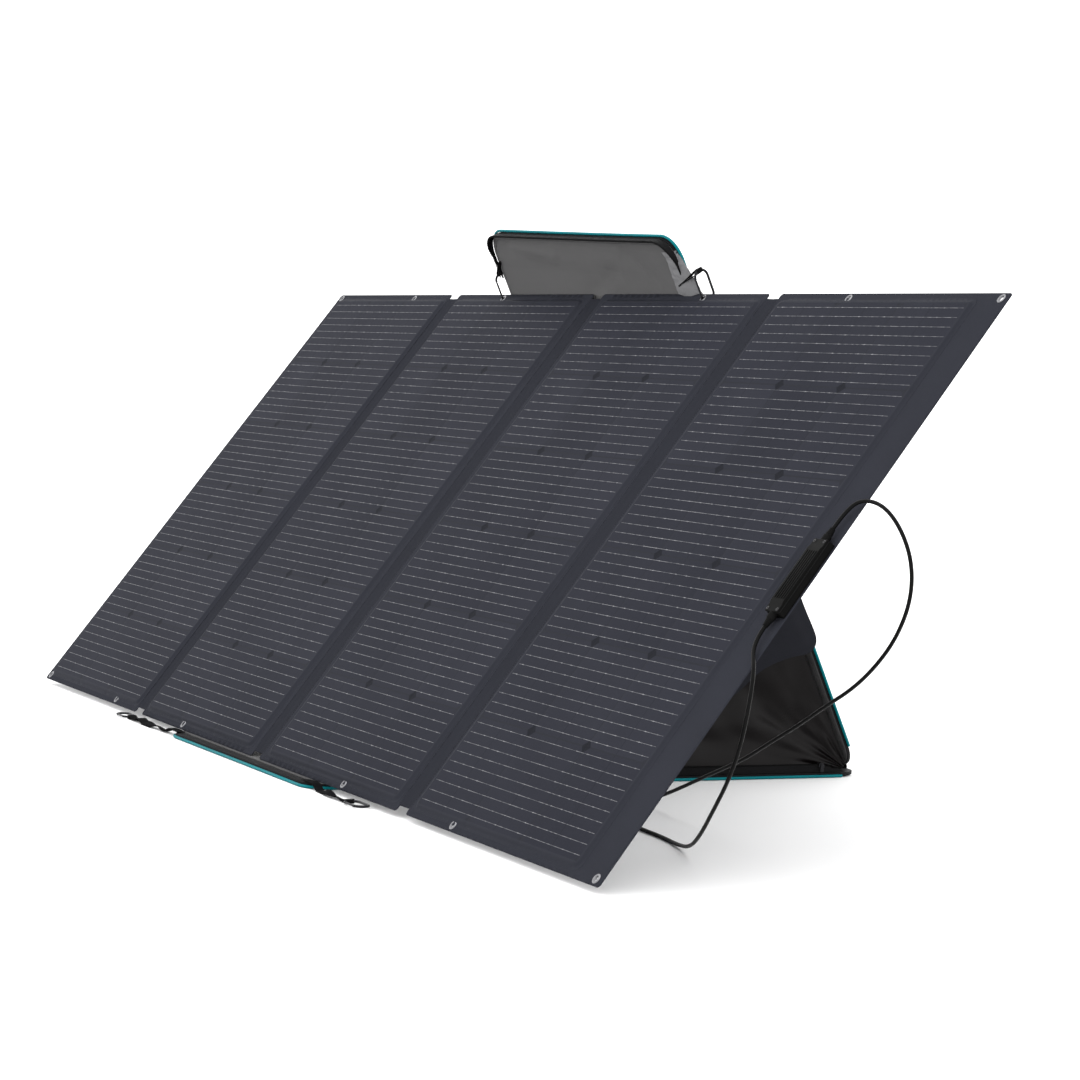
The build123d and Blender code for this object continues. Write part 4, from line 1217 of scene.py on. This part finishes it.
def lower_strap(side):
    """A loose webbing strap that lies in waves along the floor, with its sewn loop round the carabiner."""
    node = f"strap_lower_{side}"
    low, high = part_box(node)
    ring_low, ring_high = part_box(f"carabiner_lower_{side}_body")
    outward = -1 if side == "left" else 1
    near = high.x if side == "left" else low.x
    bar_x = ring_high.x - 2.25 * mm if side == "left" else ring_low.x + 2.25 * mm
    ring_level = (ring_low.z + ring_high.z) / 2
    middle_y = (low.y + high.y) / 2
    reach = abs(bar_x - near)
    over_rim = 11.4 * mm
    waves = 3 if side == "left" else 2
    line = []
    for t in steps(0.0, 1.0, 1 / 40):
        settle = smooth(0.18, 0.34, t)
        swell = 4.2 * mm * (1 - math.cos((t - 0.3) / 0.62 * 2 * math.pi * waves / 1.5)) * smooth(0.3, 0.4, t)
        swell *= 1 - smooth(0.8, 0.95, t)
        level = over_rim * (1 - settle) + 1.1 * mm * settle + swell * (0.8 + 0.3 * math.sin(t * 9))
        level = level + (ring_level - level) * smooth(0.86, 1, t)
        line.append(Vector((near + outward * reach * t, middle_y + 3 * mm * math.sin(t * 7), level)))
    bar = Vector((bar_x, middle_y, ring_level))
    loop = 3.0 * mm
    line = [p for p in line if abs(p.x - bar_x) > 9 * mm]
    upper = line + [bar + Vector((outward * loop * math.sin(a), 0, loop * math.cos(a)))
                    for a in (0.0, 0.7, 1.57, 2.44, math.pi)]
    upper.append(bar + Vector((-outward * 10 * mm, 0, -loop * 0.8)))
    upper.append(bar + Vector((-outward * 22 * mm, 0, -loop * 0.55)))

    def tilt(t):
        twist = 0.5 * math.sin(t * 12 + (1 if side == "left" else 2.5))
        return Vector((0, 1, twist * smooth(0.25, 0.4, t) * (1 - smooth(0.7, 0.85, t))))

    path = curve_points(upper, 2)
    last = len(path) - 1
    for i, p in enumerate(path):
        lean_over = tilt(i / last).normalized().z
        p.z = max(p.z, 1.0 * mm + 7.8 * mm * abs(lean_over))
    thing = strip(f"webbing_strap_{side}", path, tilt, 15.5 * mm, 1.5 * mm, webbing_fabric)
    hold(thing, "case_base", "webbing", node)


def zip_slider(side):
    """A zip slider: two wings, a bridge and its hanging pull."""
    low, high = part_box(f"zip_slider_{side}")
    outward = -1 if side == "left" else 1
    middle = Vector(((tape_low.x if side == "left" else tape_high.x) - outward * inset, (low.y + high.y) / 2, high.z))
    matrix = Matrix.Translation(middle)
    wing = mirrored([(7 * mm, -8.5 * mm), (4.6 * mm, -1.2 * mm)])
    bridge = mirrored([(2.2 * mm, -3 * mm), (1.6 * mm, 0)])
    pull = mirrored([(3.6 * mm, -17 * mm), (4 * mm, -15 * mm), (2.4 * mm, -3 * mm)])
    pieces = [prism("wing", wing, x - 1.1 * mm, x + 1.1 * mm, matrix, anodised, 0.5 * mm) for x in in_mm(-3.4, 3.4)]
    pieces.append(prism("bridge", bridge, -3.6 * mm, 3.6 * mm, matrix, anodised, 0.5 * mm))
    near, far = sorted((outward * 5.0 * mm, outward * 5.0 * mm + outward * 1.4 * mm))
    pieces.append(prism("pull", pull, near, far, matrix, anodised, 0.4 * mm))
    thing = joined(f"zip_slider_{side}_cast", pieces)
    hold(thing, f"zip_slider_{side}", "slider_metal", f"zip_slider_{side}")


def handle():
    """A webbing handle with a padded grip sewn round it."""
    low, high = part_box("case_handle")
    band = 22 * mm
    y0, y1 = low.y + band / 2, high.y - band / 2
    x_in, x_out = high.x, low.x + 14 * mm
    level = low.z + 1.7 * mm
    line = [Vector((x_in, y0, level)), Vector((x_in - 12 * mm, y0, level)),
            Vector((x_out + 16 * mm, y0 + 1 * mm, level)),
            Vector((x_out + 4 * mm, y0 + 6 * mm, level)), Vector((x_out, y0 + 18 * mm, level + 2 * mm)),
            Vector((x_out, y0 + 34 * mm, level + 3 * mm))]
    line += [Vector((p.x, y0 + y1 - p.y, p.z)) for p in reversed(line)]
    path = curve_points(line, 6)

    def wide(t):
        """The webbing's width direction: along Y at its ends and along X between them."""
        turned = smooth(0.1, 0.22, t) if t < 0.5 else 1 - smooth(0.78, 0.9, t)
        return across if 0.22 < t < 0.78 else Vector((0, 1, 0)).lerp(across, turned)

    strap = strip("handle_webbing", path, wide, band * 0.9, 2.2 * mm, webbing_fabric)
    middle = (low.y + high.y) / 2
    grip_half = 56 * mm
    points = []
    rows, sides = steps(-1, 1, 0.04), 24
    for t in rows:
        end = math.sqrt(max(0.0, 1 - max(0.0, (abs(t) - 0.9) / 0.1) ** 2))
        channel = 1 - 0.06 * dip(abs(t) - 0.8, 0.03)
        across_half, tall = (size * end * channel + 0.2 * mm for size in in_mm(13.2, 5.2))
        for k in range(sides):
            angle = 2 * math.pi * k / sides
            c, s = math.cos(angle), math.sin(angle)
            bend = abs(c) ** 0.6 * (1 if c > 0 else -1), abs(s) ** 0.8 * (1 if s > 0 else -1)
            puff = 1 + 0.03 * waver(t * 4, angle, 3)
            points.append(Vector((low.x + 14 * mm + across_half * bend[0] * puff, middle + t * grip_half,
                                  low.z + 5.6 * mm + tall * bend[1] * puff)))
    grip = add_object("handle_grip_pad", points, loft_faces(len(rows), sides), world_axes, case_fabric)
    clean_up(grip)
    hold(strap, "case_handle", "webbing", "case_handle")
    hold(grip, "case_handle", "webbing")


for side in ("left", "right"):
    upper_strap(side)
    lower_strap(side)
    zip_slider(side)
handle()

# ---- finishes on the CAD nodes that stay ----
finishes = {"carabiner": anodised, "junction_box_gasket": seal, "diode_board": solder_mask}
for name, node in frame["nodes"].items():
    if node.hide_render:
        continue
    chosen = next((finish for start, finish in finishes.items() if name.startswith(start)), case_fabric)
    if name.endswith("_board") and name.startswith("section"):
        chosen = fibre_board
    if name.endswith("_cells"):
        chosen = film
    node.data.materials.clear()
    node.data.materials.append(chosen)

# ---- floor, world and lights ----
floor_material = Paint("floor", 0.9, Specular_IOR_Level=0.1)
floor_tone = floor_material.noise(3, 3)
floor_material.colour(floor_material.mix(floor_tone, (0.90, 0.90, 0.90), (0.92, 0.92, 0.92)))
floor = add_object("floor", [(-40, -40, 0), (40, -40, 0), (40, 40, 0), (-40, 40, 0)], [[0, 1, 2, 3]],
                   Matrix.Translation((0, 0, -0.2 * mm)), floor_material.material)

world = bpy.data.worlds.new("studio")
bpy.context.scene.world = world
world.use_nodes = True
sky = world.node_tree.nodes["Background"]
sky.inputs["Color"].default_value = (1, 1, 1, 1)
sky.inputs["Strength"].default_value = 1.9

key_data = bpy.data.lights.new("key", "SUN")
key_data.angle = math.radians(40)
key_data.energy = 0.45
key = placed("key", key_data)
key.rotation_mode = "QUATERNION"
key.rotation_quaternion = Vector((0.45, 0.55, -1.0)).to_track_quat("-Z", "Y")
bpy.context.scene.view_settings.view_transform = "Standard"
